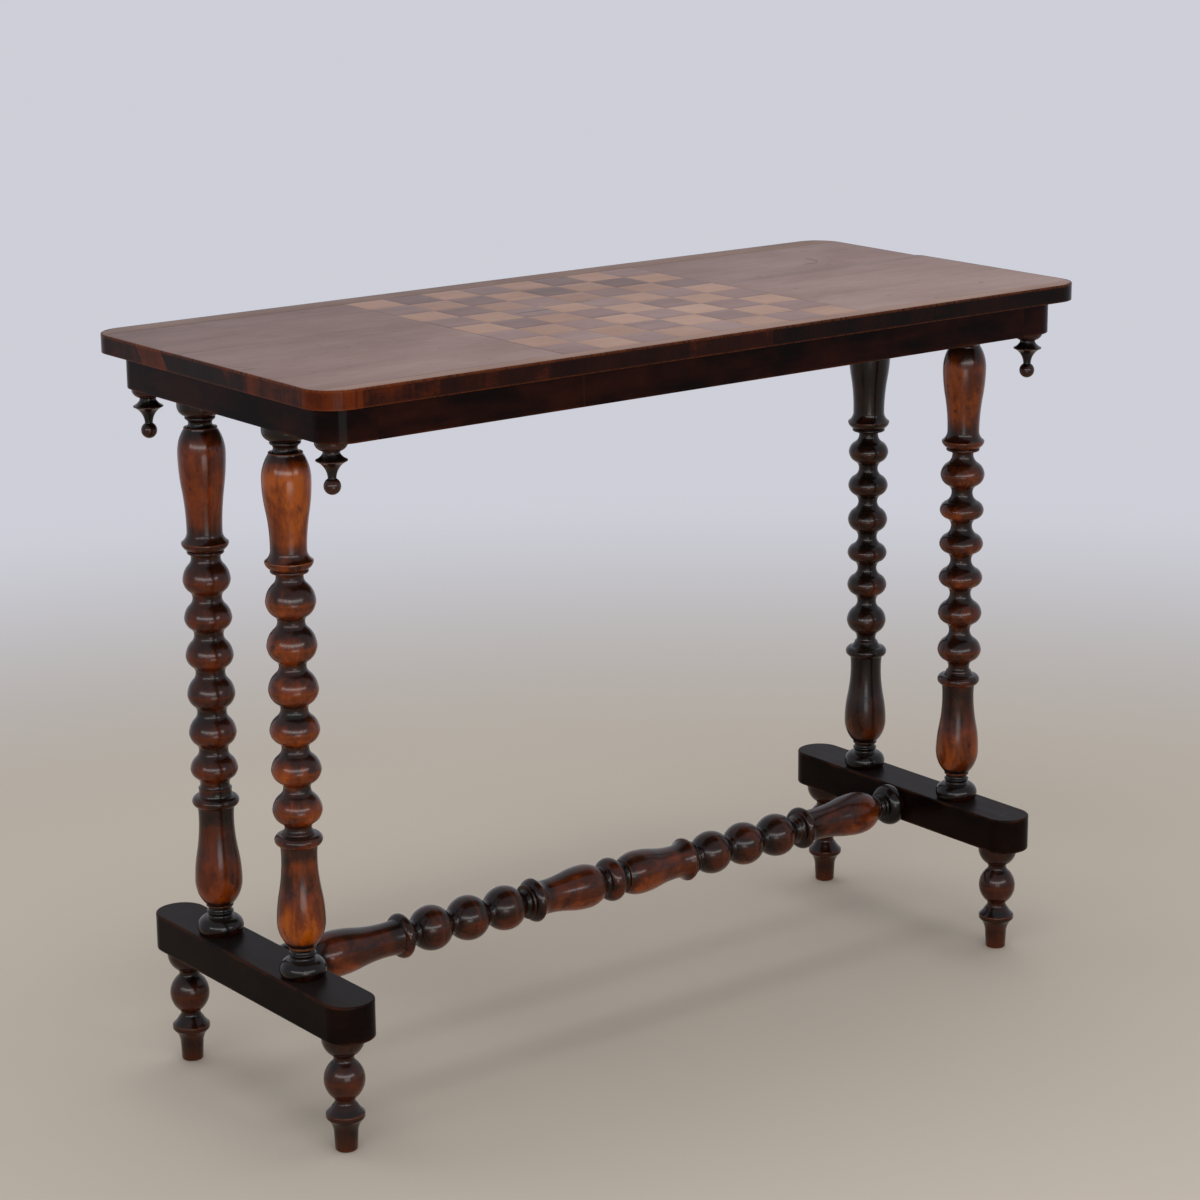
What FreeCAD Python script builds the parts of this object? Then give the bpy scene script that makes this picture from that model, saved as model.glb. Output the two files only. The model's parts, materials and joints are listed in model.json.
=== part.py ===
"""Side table with an inlaid chessboard, on two turned trestle ends joined by a turned stretcher.

X runs along the table's length, Y from the front to the rear and Z up. The origin is on the floor,
below the middle of the top. Lengths are in millimetres.
"""
import FreeCAD
import Part
import Sketcher

import math
import os
from types import SimpleNamespace

# Driving sizes, each one a cell of the sheet
SIZES = {
    # The top
    "table_height": 724.0,
    "top_length": 918.0,
    "top_depth": 404.0,
    "top_corner_radius": 32.0,
    "core_thickness": 16.5,
    "veneer_thickness": 1.5,
    "edge_veneer_thickness": 1.5,
    "front_strip_width": 17.0,
    "rear_strip_width": 28.6,
    "board_shift": 10.0,
    # The apron and what holds the top down
    "overhang": 18.0,
    "apron_height": 34.0,
    "apron_corner_radius": 27.0,
    "bearer_width": 50.0,
    "rail_thickness": 18.0,
    "rail_tenon_length": 16.0,
    "rail_tenon_thickness": 8.0,
    "rail_tenon_height": 20.0,
    "glue_block_length": 60.0,
    "glue_block_section": 15.0,
    "screw_head_radius": 4.5,
    "screw_head_height": 3.2,
    "screw_shank_radius": 2.2,
    "screw_length": 32.0,
    "screw_tip_length": 5.0,
    "screw_bore_depth": 12.0,
    # The trestle ends
    "trestle_inset": 24.0,
    "bar_inset": 11.5,
    "foot_inset": 34.2,
    "leg_to_foot": 65.0,
    "bar_underside": 114.8,
    "bar_height": 37.0,
    "bar_width": 50.0,
    # Fits
    "tenon_radius": 10.5,
    "tenon_length": 20.0,
    "fit_gap": 0.1,
    "tenon_end_gap": 0.5,
    # The turning that the legs' lower ends and both ends of the stretcher share
    "base_height": 16.5,
    "base_foot_radius": 20.0,
    "base_top_radius": 15.0,
    "base_bulge": 4.5,
    "base_neck_length": 12.0,
    "base_neck_depth": 2.6,
    "vase_foot_radius": 13.8,
    "vase_foot_length": 24.5,
    "vase_taper_length": 62.5,
    "vase_radius": 22.8,
    "vase_waist_radius": 16.8,
    "vase_flare_length": 11.5,
    "vase_flare_radius": 17.6,
    "collar_radius": 22.4,
    "collar_underside_height": 5.0,
    "collar_underside_bulge": 1.2,
    "collar_edge_height": 1.4,
    "collar_hollow_height": 8.6,
    "collar_hollow_depth": 1.9,
    # The run of bobbins on the legs
    "bobbin_run_length": 240.3,
    "bobbin_radius": 22.5,
    "bobbin_neck_radius": 11.5,
    "bobbin_cove": 6.0,
    # The collar above a run of beads
    "cup_collar_hollow_height": 3.8,
    "cup_collar_foot_radius": 18.2,
    "cup_collar_step": 0.8,
    "cup_collar_round_height": 7.4,
    "cup_collar_bulge": 1.3,
    "cup_collar_edge_height": 1.3,
    # The legs' upper ends, upwards from that collar
    "upper_flare_height": 14.0,
    "upper_waist_radius": 16.8,
    "upper_vase_length": 62.0,
    "upper_vase_radius": 22.6,
    "shoulder_height": 20.5,
    "shoulder_radius": 15.6,
    "fillet_height": 1.2,
    "capital_neck_length": 8.0,
    "capital_neck_depth": 3.4,
    "capital_fillet_radius": 15.2,
    "capital_foot_radius": 16.2,
    "capital_cup_height": 10.5,
    "capital_radius": 21.3,
    "capital_band_height": 8.0,
    # The middle of the stretcher, outwards from its centre
    "stretcher_height": 131.0,
    "ring_radius": 22.6,
    "ring_foot_radius": 16.0,
    "ring_half_width": 9.0,
    "ring_neck_length": 7.0,
    "ring_neck_depth": 2.4,
    "baluster_foot_radius": 17.0,
    "baluster_foot_length": 18.5,
    "baluster_radius": 22.7,
    "baluster_taper_length": 49.5,
    "baluster_waist_radius": 17.3,
    "baluster_flare_length": 12.5,
    "ball_run_length": 141.0,
    "ball_radius": 22.6,
    "ball_neck_radius": 11.0,
    "ball_cove": 4.6,
    # The feet, upwards from the floor
    "peg_end_radius": 9.4,
    "peg_end_round": 1.2,
    "peg_radius": 11.5,
    "peg_length": 16.5,
    "peg_flare_height": 13.5,
    "peg_flare_radius": 16.0,
    "disc_bevel_height": 4.6,
    "disc_bevel_bulge": 0.7,
    "disc_radius": 18.6,
    "disc_edge_height": 3.4,
    "disc_shoulder_height": 6.0,
    "disc_shoulder_bulge": 1.3,
    "disc_shoulder_radius": 13.5,
    "foot_neck_length": 10.0,
    "foot_neck_depth": 2.2,
    "foot_ball_length": 32.0,
    "foot_ball_bulge": 7.7,
    "foot_ball_end_radius": 11.6,
    "foot_upper_neck_length": 11.0,
    "foot_upper_neck_depth": 1.4,
    "foot_cup_foot_radius": 12.6,
    "foot_cup_height": 13.8,
    "foot_cup_radius": 20.5,
    "foot_cup_band_height": 4.0,
    # The drop finials, downwards from the apron
    "finial_inset_along": 18.0,
    "finial_inset_across": 26.0,
    "finial_spigot_radius": 4.0,
    "finial_spigot_length": 12.0,
    "finial_band_height": 3.2,
    "finial_collar_radius": 15.0,
    "finial_collar_height": 6.0,
    "finial_collar_bulge": 1.3,
    "finial_neck_radius": 7.9,
    "finial_neck_length": 2.4,
    "finial_disc_slope_height": 5.6,
    "finial_disc_slope_depth": 0.7,
    "finial_disc_radius": 14.4,
    "finial_disc_edge": 0.8,
    "finial_stem_length": 16.0,
    "finial_stem_radius": 3.9,
    "finial_ball_neck_length": 6.7,
    "finial_ball_radius": 7.8,
}

SQUARES_PER_SIDE = 8
ROWS_ON_REAR_BOARD = 3
BOBBINS_PER_LEG = 6
BALLS_PER_SIDE = 3
BLOCKS_PER_RAIL = 4

# Where a swelling curve turns from hollow to round, as a share of its length
SWELL_SHARE = 0.56
# Where the last cove of a run of beads stops, outwards and along, as shares of the cove's radius
COVE_END_SHARES = (0.4, 0.8)

SIDES = {"left": -1, "right": 1}
FACES = {"front": -1, "rear": 1}
Y_AXIS = FreeCAD.Vector(0, 1, 0)
Z_AXIS = FreeCAD.Vector(0, 0, 1)

doc = FreeCAD.newDocument("ChessTable")
sheet = doc.addObject("Spreadsheet::Sheet", "Sizes")
for row, (alias, length) in enumerate(SIZES.items(), start=1):
    sheet.set(f"A{row}", alias)
    sheet.set(f"B{row}", str(length))
    sheet.setAlias(f"B{row}", alias)
doc.recompute()


class Size:
    """A length as an expression on the sheet's cells, with the value that it has now."""

    def __init__(self, text, value):
        self.text = text
        self.value = value

    @staticmethod
    def of(number):
        """The number as a size, if it isn't one already."""
        if isinstance(number, Size):
            return number
        return Size(f"({float(number)!r})", float(number))

    def __add__(self, other):
        other = Size.of(other)
        return Size(f"({self.text} + {other.text})", self.value + other.value)

    def __sub__(self, other):
        other = Size.of(other)
        return Size(f"({self.text} - {other.text})", self.value - other.value)

    def __mul__(self, other):
        other = Size.of(other)
        return Size(f"({self.text} * {other.text})", self.value * other.value)

    def __truediv__(self, other):
        other = Size.of(other)
        return Size(f"({self.text} / {other.text})", self.value / other.value)

    def __neg__(self):
        return self * -1


s = SimpleNamespace(**{alias: Size(f"Sizes.{alias}", length) for alias, length in SIZES.items()})
ZERO = Size.of(0)
WHOLE = Size.of(1)
derived = doc.addObject("App::VarSet", "Derived")


def named(name, size):
    """A length that is worked out from the sheet, kept in the document under a name of its own."""
    derived.addProperty("App::PropertyFloat", name)
    derived.setExpression(name, size.text)
    return Size(f"Derived.{name}", size.value)


# Heights and half sizes that several pieces share
slab_thickness = named("slab_thickness", s.core_thickness + s.veneer_thickness)
slab_underside = named("slab_underside", s.table_height - slab_thickness)
apron_underside = named("apron_underside", slab_underside - s.apron_height)
bar_top = named("bar_top", s.bar_underside + s.bar_height)
half_length = named("half_length", s.top_length / 2)
half_depth = named("half_depth", s.top_depth / 2)
apron_half_length = named("apron_half_length", half_length - s.overhang)
apron_half_depth = named("apron_half_depth", half_depth - s.overhang)
bearer_inner = named("bearer_inner", apron_half_length - s.bearer_width)
trestle_offset = named("trestle_offset", apron_half_length - s.trestle_inset)
bar_half_length = named("bar_half_length", apron_half_depth - s.bar_inset)
foot_offset = named("foot_offset", bar_half_length - s.foot_inset)
leg_offset = named("leg_offset", foot_offset - s.leg_to_foot)
board_front = named("board_front", s.front_strip_width - half_depth)
board_rear = named("board_rear", half_depth - s.rear_strip_width)
square_size = named("square_size", (board_rear - board_front) / SQUARES_PER_SIDE)
board_left = named("board_left", -s.board_shift - square_size * SQUARES_PER_SIDE / 2)
board_right = named("board_right", board_left + square_size * SQUARES_PER_SIDE)
board_joint = named("board_joint", board_rear - square_size * ROWS_ON_REAR_BOARD)
mortise_radius = named("mortise_radius", s.tenon_radius + s.fit_gap)
mortise_depth = named("mortise_depth", s.tenon_length + s.tenon_end_gap)
finial_x = named("finial_x", apron_half_length - s.finial_inset_along)
finial_y = named("finial_y", apron_half_depth - s.finial_inset_across)
screw_seat = named("screw_seat", apron_underside + s.screw_bore_depth)
# The outer screws lie midway between the legs and the finials
screw_y = named("screw_y", (leg_offset + finial_y) / 2)
screw_rows = (-screw_y, ZERO, screw_y)
# Turning that the legs and the stretcher share: their ends, and the collar above a run of beads
base_and_vase_height = (s.base_height + s.base_neck_length + s.vase_foot_length + s.vase_taper_length
                        + s.vase_flare_length + s.collar_underside_height + s.collar_edge_height
                        + s.collar_hollow_height)
cup_collar_height = s.cup_collar_hollow_height + s.cup_collar_round_height + s.cup_collar_edge_height


class Outline:
    """A closed outline of lines and arcs, drawn anticlockwise, with every point bound to the sheet."""

    def __init__(self, x, y):
        self.points = [(x, y)]
        self.rises = [None]
        self.runs = []
        self.closing = None

    def line(self, x, y, rise=None):
        """A straight run to a point, which is set out from the last one where a rise is given."""
        self.points.append((x, y))
        self.rises.append(rise)
        self.runs.append(None)

    def arc(self, x, y, radius, bulge, rise=None):
        """An arc to a point, with a bulge of 1 out of the outline or -1 into it."""
        self.points.append((x, y))
        self.rises.append(rise)
        self.runs.append((radius, bulge))

    def draw(self, body, name, role):
        """The outline as a fully bound sketch on one of the body's origin planes."""
        sketch = body.newObject("Sketcher::SketchObject", name)
        sketch.AttachmentSupport = (origin_plane(body, role), [""])
        sketch.MapMode = "FlatFace"
        spots = [FreeCAD.Vector(x.value, y.value, 0) for x, y in self.points]
        runs = self.runs + [self.closing]
        pieces = [segment(spots[i], spots[(i + 1) % len(spots)], run) for i, run in enumerate(runs)]
        sketch.addGeometry([piece for piece, ends in pieces], False)
        constraints = []
        bindings = {}
        for index, run in enumerate(runs):
            before = (index - 1) % len(runs)
            begin = pieces[index][1][0]
            finish = pieces[before][1][1]
            constraints.append(Sketcher.Constraint("Coincident", before, finish, index, begin))
            x, y = self.points[index]
            rise = self.rises[index]
            coordinates = [("DistanceX", -2, x, (-1, 1)), ("DistanceY", -1, y, (-1, 1))]
            if rise is not None:
                coordinates[1] = ("DistanceY", None, rise, (before, pieces[before][1][0]))
            for kind, axis, distance, datum in coordinates:
                if distance.value == 0 and axis is None:
                    constraints.append(Sketcher.Constraint("Horizontal", before))
                    continue
                if distance.value == 0:
                    constraints.append(Sketcher.Constraint("PointOnObject", index, begin, axis))
                    continue
                bindings[len(constraints)] = distance if distance.value > 0 else -distance
                ends = (*datum, index, begin) if distance.value > 0 else (index, begin, *datum)
                constraints.append(Sketcher.Constraint(kind, *ends, abs(distance.value)))
            if run is not None:
                bindings[len(constraints)] = run[0]
                constraints.append(Sketcher.Constraint("Radius", index, run[0].value))
        sketch.addConstraint(constraints)
        for index, size in bindings.items():
            sketch.setExpression(f"Constraints[{index}]", size.text)
        return sketch


def segment(start, stop, run):
    """A line or arc of a sketch, and which of its ends lies at the start and which at the stop."""
    if run is None:
        return Part.LineSegment(start, stop), (1, 2)
    radius, bulge = run[0].value, run[1]
    chord = stop - start
    outwards = FreeCAD.Vector(chord.y, -chord.x, 0) / chord.Length
    reach = math.sqrt(radius**2 - chord.Length**2 / 4)
    centre = (start + stop) / 2 - outwards * (bulge * reach)
    first, second = (start, stop) if bulge > 0 else (stop, start)
    begin = math.atan2(first.y - centre.y, first.x - centre.x)
    finish = math.atan2(second.y - centre.y, second.x - centre.x)
    if finish < begin:
        finish += math.tau
    circle = Part.Circle(centre, Z_AXIS, radius)
    return Part.ArcOfCircle(circle, begin, finish), (1, 2) if bulge > 0 else (2, 1)


class Turning(Outline):
    """The half outline of a turned piece: radius across, height along its axis, from the bottom up.

    Lengths along the axis are multiplied by the stretch, so that a piece fills the room between two others.
    """

    def __init__(self, start, stretch=WHOLE):
        super().__init__(ZERO, start)
        self.stretch = stretch

    def tenon(self):
        """A tenon, which no stretch changes, from the shoulder up or from the axis up to the shoulder."""
        self.step(s.tenon_radius)
        self.line(s.tenon_radius, self.points[-1][1] + s.tenon_length, s.tenon_length)

    def step(self, radius):
        """A flat shoulder."""
        self.line(radius, self.points[-1][1], ZERO)

    def band(self, length):
        """A straight run along the axis."""
        self.taper(self.points[-1][0], length)

    def taper(self, radius, length):
        """A straight run to another radius."""
        rise = length * self.stretch
        self.line(radius, self.points[-1][1] + rise, rise)

    def bulge(self, radius, length, depth):
        """An arc that swells out by a depth from the straight line."""
        self.bow(radius, length, depth, 1)

    def dip(self, radius, length, depth):
        """An arc that is hollowed by a depth from the straight line."""
        self.bow(radius, length, depth, -1)

    def bow(self, radius, length, depth, side):
        """An arc over a chord, with its depth."""
        r, z = self.points[-1]
        across = radius - r
        rise = length * self.stretch
        depth = depth * self.stretch
        chord_squared = across * across + rise * rise
        self.arc(radius, z + rise, (chord_squared / 4 + depth * depth) / (depth * 2), side, rise)

    def leave(self, radius, length):
        """An arc that leaves the last point along the axis."""
        r, z = self.points[-1]
        rise = length * self.stretch
        self.arc(radius, z + rise, *self.along_axis(radius - r, rise, -1), rise)

    def arrive(self, radius, length):
        """An arc that meets the new point along the axis."""
        r, z = self.points[-1]
        rise = length * self.stretch
        self.arc(radius, z + rise, *self.along_axis(radius - r, rise, 1), rise)

    @staticmethod
    def along_axis(across, length, outward_side):
        """The radius of an arc that is along the axis at one end, and the side that it bulges to."""
        side = outward_side if across.value > 0 else -outward_side
        across = across if across.value > 0 else -across
        return (across * across + length * length) / (across * 2), side

    def swell(self, radius, length, share=SWELL_SHARE):
        """A smooth double curve that runs along the axis at both ends."""
        r = self.points[-1][0]
        self.leave(r + (radius - r) * share, length * share)
        self.arrive(radius, length * (1 - share))

    def beads(self, name, count, length, radius, neck, cove):
        """A run of equal beads with coves between them, from cove to cove over a length."""
        lead = cove * COVE_END_SHARES[1]
        pitch = named(f"{name}_pitch", (length * self.stretch - lead * 2) / count)
        depth = radius - neck
        span = named(f"{name}_span", (depth * depth + pitch * pitch / 4) / (depth * 2))
        meet_radius = named(f"{name}_meet_radius", neck + cove * depth / span)
        meet_rise = named(f"{name}_meet_rise", cove * pitch / (span * 2))
        cove_rise = lead + meet_rise
        for _ in range(count):
            self.arc(meet_radius, self.points[-1][1] + cove_rise, cove, -1, cove_rise)
            bead_rise = pitch - meet_rise * 2
            self.arc(meet_radius, self.points[-1][1] + bead_rise, span - cove, 1, bead_rise)
            cove_rise = meet_rise * 2
        last_rise = meet_rise + lead
        self.arc(cove_end(neck, cove), self.points[-1][1] + last_rise, cove, -1, last_rise)

    def make(self, label):
        """The turned body."""
        body = new_body(label)
        turning = body.newObject("PartDesign::Revolution", label + "_turning")
        turning.Profile = self.draw(body, label + "_profile", "XZ_Plane")
        turning.ReferenceAxis = (turning.Profile[0], ["V_Axis"])
        turning.Angle = 360
        body.Tip = turning
        return body


def cove_end(neck, cove):
    """The radius at which the outermost coves of a run of beads stop."""
    return neck + cove * COVE_END_SHARES[0]


def new_body(label):
    """An empty body under the name of its piece."""
    body = doc.addObject("PartDesign::Body", label)
    body.Label = label
    return body


def origin_plane(body, role):
    """One of the three planes through a body's own origin."""
    return next(feature for feature in body.Origin.OriginFeatures if feature.Role == role)


def bind(thing, **sizes):
    """Ties properties of an object to sizes."""
    for name, size in sizes.items():
        thing.setExpression(name, size.text)


def place(thing, x=ZERO, y=ZERO, z=ZERO, axis=Z_AXIS, angle=0):
    """Turns an object about an axis and ties its place to sizes."""
    thing.Placement = FreeCAD.Placement(FreeCAD.Vector(), FreeCAD.Rotation(axis, angle))
    for name, size in (("x", x), ("y", y), ("z", z)):
        thing.setExpression(f"Placement.Base.{name}", size.text)


def block(label, low, high, body=None, kind="AdditiveBox"):
    """A box between two corners, by itself or as a feature of a body."""
    box = body.newObject(f"PartDesign::{kind}", label) if body else doc.addObject("Part::Box", label)
    bind(box, Length=high[0] - low[0], Width=high[1] - low[1], Height=high[2] - low[2])
    place(box, *low)
    if body:
        body.Tip = box
    return box


def bore(body, name, start, radius, depth, axis=Z_AXIS, angle=0):
    """A round hole in a body, upwards from its start or in the direction that the angle gives."""
    hole = body.newObject("PartDesign::SubtractiveCylinder", name)
    bind(hole, Radius=radius, Height=depth)
    place(hole, *start, axis=axis, angle=angle)
    body.Tip = hole


def plate(label, outline, thickness):
    """A flat body with the given plan, upwards from its own origin plane."""
    body = new_body(label)
    pad = body.newObject("PartDesign::Pad", label + "_pad")
    pad.Profile = outline.draw(body, label + "_plan", "XY_Plane")
    bind(pad, Length=thickness)
    body.Tip = pad
    return body


def rounded_rectangle(half_x, half_y, radius):
    """The plan of a rectangle with round corners."""
    plan = Outline(radius - half_x, -half_y)
    plan.line(half_x - radius, -half_y)
    plan.arc(half_x, radius - half_y, radius, 1)
    plan.line(half_x, half_y - radius)
    plan.arc(half_x - radius, half_y, radius, 1)
    plan.line(radius - half_x, half_y)
    plan.arc(-half_x, half_y - radius, radius, 1)
    plan.line(-half_x, radius - half_y)
    plan.closing = (radius, 1)
    return plan


def combine(kind, label, base, tool):
    """A cut or a common of two objects."""
    result = doc.addObject(kind, label)
    result.Label = label
    result.Base = base
    result.Tool = tool
    return result


def group(label, pieces):
    """Separate solids under one name, or one copy of a pattern that is placed afterwards."""
    compound = doc.addObject("Part::Compound", label)
    compound.Label = label
    compound.Links = pieces
    return compound


def set_out(label, pattern, x, y, z):
    """A copy of a pattern piece at a place of its own."""
    copy = group(label, [pattern])
    place(copy, x, y, z)
    return copy


def make_slab():
    """The two core boards of the top, the veneers on them and the veneers round their edge."""
    skin = s.edge_veneer_thickness
    inner_plan = (half_length - skin, half_depth - skin, s.top_corner_radius - skin)
    core = plate("core_blank", rounded_rectangle(*inner_plan), s.core_thickness)
    place(core, z=slab_underside)
    for side, sign in SIDES.items():
        for index, row_y in enumerate(screw_rows):
            depth = screw_seat + s.screw_length + s.tenon_end_gap - slab_underside
            start = (trestle_offset * sign, row_y, ZERO)
            bore(core, f"pilot_{side}_{index}", start, s.screw_shank_radius + s.fit_gap, depth)
    face = plate("veneer_blank", rounded_rectangle(*inner_plan), s.veneer_thickness)
    place(face, z=slab_underside + s.core_thickness)
    outer_plan = (half_length, half_depth, s.top_corner_radius)
    slab = plate("slab_blank", rounded_rectangle(*outer_plan), slab_thickness)
    place(slab, z=slab_underside)
    filling = plate("filling_blank", rounded_rectangle(*inner_plan), slab_thickness)
    place(filling, z=slab_underside)
    ring = combine("Part::Cut", "edge_blank", slab, filling)

    def part_of(label, blank, x_range, y_range):
        """The part of a blank between two limits each way."""
        low = (x_range[0], y_range[0], slab_underside)
        high = (x_range[1], y_range[1], s.table_height)
        return combine("Part::Common", label, blank, block(label + "_limits", low, high))

    whole_x = (-half_length, half_length)
    rows = {"front": (-half_depth, board_joint), "rear": (board_joint, half_depth)}
    fields = {"left": (-half_length, board_left), "right": (board_right, half_length)}
    field_rows = {"front": (board_front, board_joint), "rear": (board_joint, board_rear)}
    strips = {"front": (-half_depth, board_front), "rear": (board_rear, half_depth)}
    corner = s.top_corner_radius
    long_edges = {"front": (-half_depth, corner - half_depth), "rear": (half_depth - corner, half_depth)}
    short_edges = {"left": (-half_length, corner - half_length), "right": (half_length - corner, half_length)}
    pieces = [part_of(f"top_board_{name}", core, whole_x, limits) for name, limits in rows.items()]
    for side, x_range in fields.items():
        for row_name, y_range in field_rows.items():
            pieces.append(part_of(f"field_veneer_{side}_{row_name}", face, x_range, y_range))
    pieces += [part_of(f"strip_veneer_{name}", face, whole_x, limits) for name, limits in strips.items()]
    pieces += [part_of(f"edge_veneer_{name}", ring, whole_x, limits) for name, limits in long_edges.items()]
    middle = (corner - half_depth, half_depth - corner)
    pieces += [part_of(f"edge_veneer_{name}", ring, limits, middle) for name, limits in short_edges.items()]
    return pieces


def make_squares():
    """The inlaid squares, light ones at the rear left and the front right corners."""
    squares = {"light_squares": [], "dark_squares": []}
    for column in range(SQUARES_PER_SIDE):
        for line in range(SQUARES_PER_SIDE):
            tone = "dark_squares" if (column + line) % 2 == 0 else "light_squares"
            x = board_left + square_size * column
            y = board_front + square_size * line
            low = (x, y, s.table_height - s.veneer_thickness)
            high = (x + square_size, y + square_size, s.table_height)
            squares[tone].append(block(f"square_{column}_{line}", low, high))
    return [group(tone, pieces) for tone, pieces in squares.items()]


def make_bearer(side, sign):
    """A cross bearer that closes the apron's end and takes the legs, the finials and the rails."""
    radius = s.apron_corner_radius
    plan = Outline(bearer_inner, -apron_half_depth)
    plan.line(apron_half_length - radius, -apron_half_depth)
    plan.arc(apron_half_length, radius - apron_half_depth, radius, 1)
    plan.line(apron_half_length, apron_half_depth - radius)
    plan.arc(apron_half_length - radius, apron_half_depth, radius, 1)
    plan.line(bearer_inner, apron_half_depth)
    body = plate(f"bearer_{side}", plan, s.apron_height)
    for face, face_sign in FACES.items():
        leg = (trestle_offset, leg_offset * face_sign, ZERO)
        bore(body, f"leg_mortise_{side}_{face}", leg, mortise_radius, mortise_depth)
        finial = (finial_x, finial_y * face_sign, ZERO)
        finial_depth = s.finial_spigot_length + s.tenon_end_gap
        bore(body, f"finial_hole_{side}_{face}", finial, s.finial_spigot_radius + s.fit_gap, finial_depth)
        middle = (apron_half_depth - s.rail_thickness / 2) * face_sign
        half_thickness = s.rail_tenon_thickness / 2 + s.fit_gap
        half_height = s.rail_tenon_height / 2 + s.fit_gap
        low = (bearer_inner, middle - half_thickness, s.apron_height / 2 - half_height)
        reach = bearer_inner + s.rail_tenon_length + s.tenon_end_gap
        high = (reach, middle + half_thickness, s.apron_height / 2 + half_height)
        block(f"rail_mortise_{side}_{face}", low, high, body, "SubtractiveBox")
    for index, row_y in enumerate(screw_rows):
        start = (trestle_offset, row_y, ZERO)
        bore(body, f"screw_hole_{side}_{index}", start, s.screw_shank_radius + s.fit_gap, s.apron_height)
        bore(body, f"screw_bore_{side}_{index}", start, s.screw_head_radius + s.fit_gap, s.screw_bore_depth)
    place(body, z=apron_underside, angle=facing(sign))
    return body


def facing(sign):
    """The turn about the upright axis that takes the right or rear piece to the given side."""
    return 0 if sign > 0 else 180


def make_rail(face, sign):
    """A long rail of the apron, with a stub tenon at each end."""
    body = new_body(f"apron_rail_{face}")
    outer = apron_half_depth
    inner = apron_half_depth - s.rail_thickness
    block(f"rail_{face}", (-bearer_inner, inner, ZERO), (bearer_inner, outer, s.apron_height), body)
    middle = (outer + inner) / 2
    half_thickness = s.rail_tenon_thickness / 2
    half_height = s.rail_tenon_height / 2
    reach = bearer_inner + s.rail_tenon_length
    low = (-reach, middle - half_thickness, s.apron_height / 2 - half_height)
    high = (reach, middle + half_thickness, s.apron_height / 2 + half_height)
    block(f"rail_tenons_{face}", low, high, body)
    place(body, z=apron_underside, angle=facing(sign))
    return body


def make_glue_blocks(face, sign):
    """Blocks rubbed into the corner between a rail and the underside of the top."""
    blocks = []
    rail_inner = apron_half_depth - s.rail_thickness
    pitch = bearer_inner * 2 / BLOCKS_PER_RAIL
    edges = sorted(((rail_inner - s.glue_block_section) * sign, rail_inner * sign), key=lambda y: y.value)
    for index in range(BLOCKS_PER_RAIL):
        x = pitch * (index + 1 / 2) - bearer_inner
        low = (x - s.glue_block_length / 2, edges[0], slab_underside - s.glue_block_section)
        high = (x + s.glue_block_length / 2, edges[1], slab_underside)
        blocks.append(block(f"glue_block_{face}_{index}", low, high))
    return group(f"glue_blocks_{face}", blocks)


def make_screws():
    """The wood screws that hold the top down on the bearers."""
    turning = Turning(-s.screw_head_height)
    turning.step(s.screw_head_radius)
    turning.band(s.screw_head_height)
    turning.step(s.screw_shank_radius)
    turning.band(s.screw_length - s.screw_tip_length)
    turning.taper(ZERO, s.screw_tip_length)
    pattern = turning.make("screw_pattern")
    screws = []
    for side, sign in SIDES.items():
        for index, row_y in enumerate(screw_rows):
            name = f"screw_{side}_{index}"
            screws.append(set_out(name, pattern, trestle_offset * sign, row_y, screw_seat))
    return group("top_screws", screws)


def add_base_and_vase(turning, neck, cove):
    """The base, the vase and the collar at the lower end of a leg or at an end of the stretcher."""
    turning.step(s.base_foot_radius)
    turning.bulge(s.base_top_radius, s.base_height, s.base_bulge)
    turning.step(s.vase_foot_radius)
    turning.dip(s.vase_foot_radius, s.base_neck_length, s.base_neck_depth)
    turning.arrive(s.vase_radius, s.vase_foot_length)
    turning.swell(s.vase_waist_radius, s.vase_taper_length, 1 - SWELL_SHARE)
    turning.leave(s.vase_flare_radius, s.vase_flare_length)
    turning.bulge(s.collar_radius, s.collar_underside_height, s.collar_underside_bulge)
    turning.band(s.collar_edge_height)
    turning.dip(cove_end(neck, cove), s.collar_hollow_height, s.collar_hollow_depth)


def add_cup_collar(turning):
    """The collar above a run of beads."""
    turning.taper(s.cup_collar_foot_radius - s.cup_collar_step, s.cup_collar_hollow_height)
    turning.step(s.cup_collar_foot_radius)
    turning.bulge(s.collar_radius, s.cup_collar_round_height, s.cup_collar_bulge)
    turning.band(s.cup_collar_edge_height)


def turn_leg():
    """The pattern of a leg, turned with a vase at each end and a run of bobbins between them."""
    upper_end = (cup_collar_height + s.upper_flare_height + s.upper_vase_length + s.shoulder_height
                 + s.fillet_height * 2 + s.capital_neck_length + s.capital_cup_height
                 + s.capital_band_height)
    room = apron_underside - bar_top
    stretch = named("leg_stretch", room / (base_and_vase_height + s.bobbin_run_length + upper_end))
    turning = Turning(-s.tenon_length, stretch)
    turning.tenon()
    add_base_and_vase(turning, s.bobbin_neck_radius, s.bobbin_cove)
    bobbin = (s.bobbin_radius, s.bobbin_neck_radius, s.bobbin_cove)
    turning.beads("bobbin", BOBBINS_PER_LEG, s.bobbin_run_length, *bobbin)
    add_cup_collar(turning)
    turning.arrive(s.upper_waist_radius, s.upper_flare_height)
    turning.swell(s.upper_vase_radius, s.upper_vase_length)
    turning.leave(s.shoulder_radius, s.shoulder_height)
    turning.band(s.fillet_height)
    turning.dip(s.capital_fillet_radius, s.capital_neck_length, s.capital_neck_depth)
    turning.band(s.fillet_height)
    turning.step(s.capital_foot_radius)
    turning.arrive(s.capital_radius, s.capital_cup_height)
    turning.band(s.capital_band_height)
    turning.tenon()
    turning.step(ZERO)
    return turning.make("leg_pattern")


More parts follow.
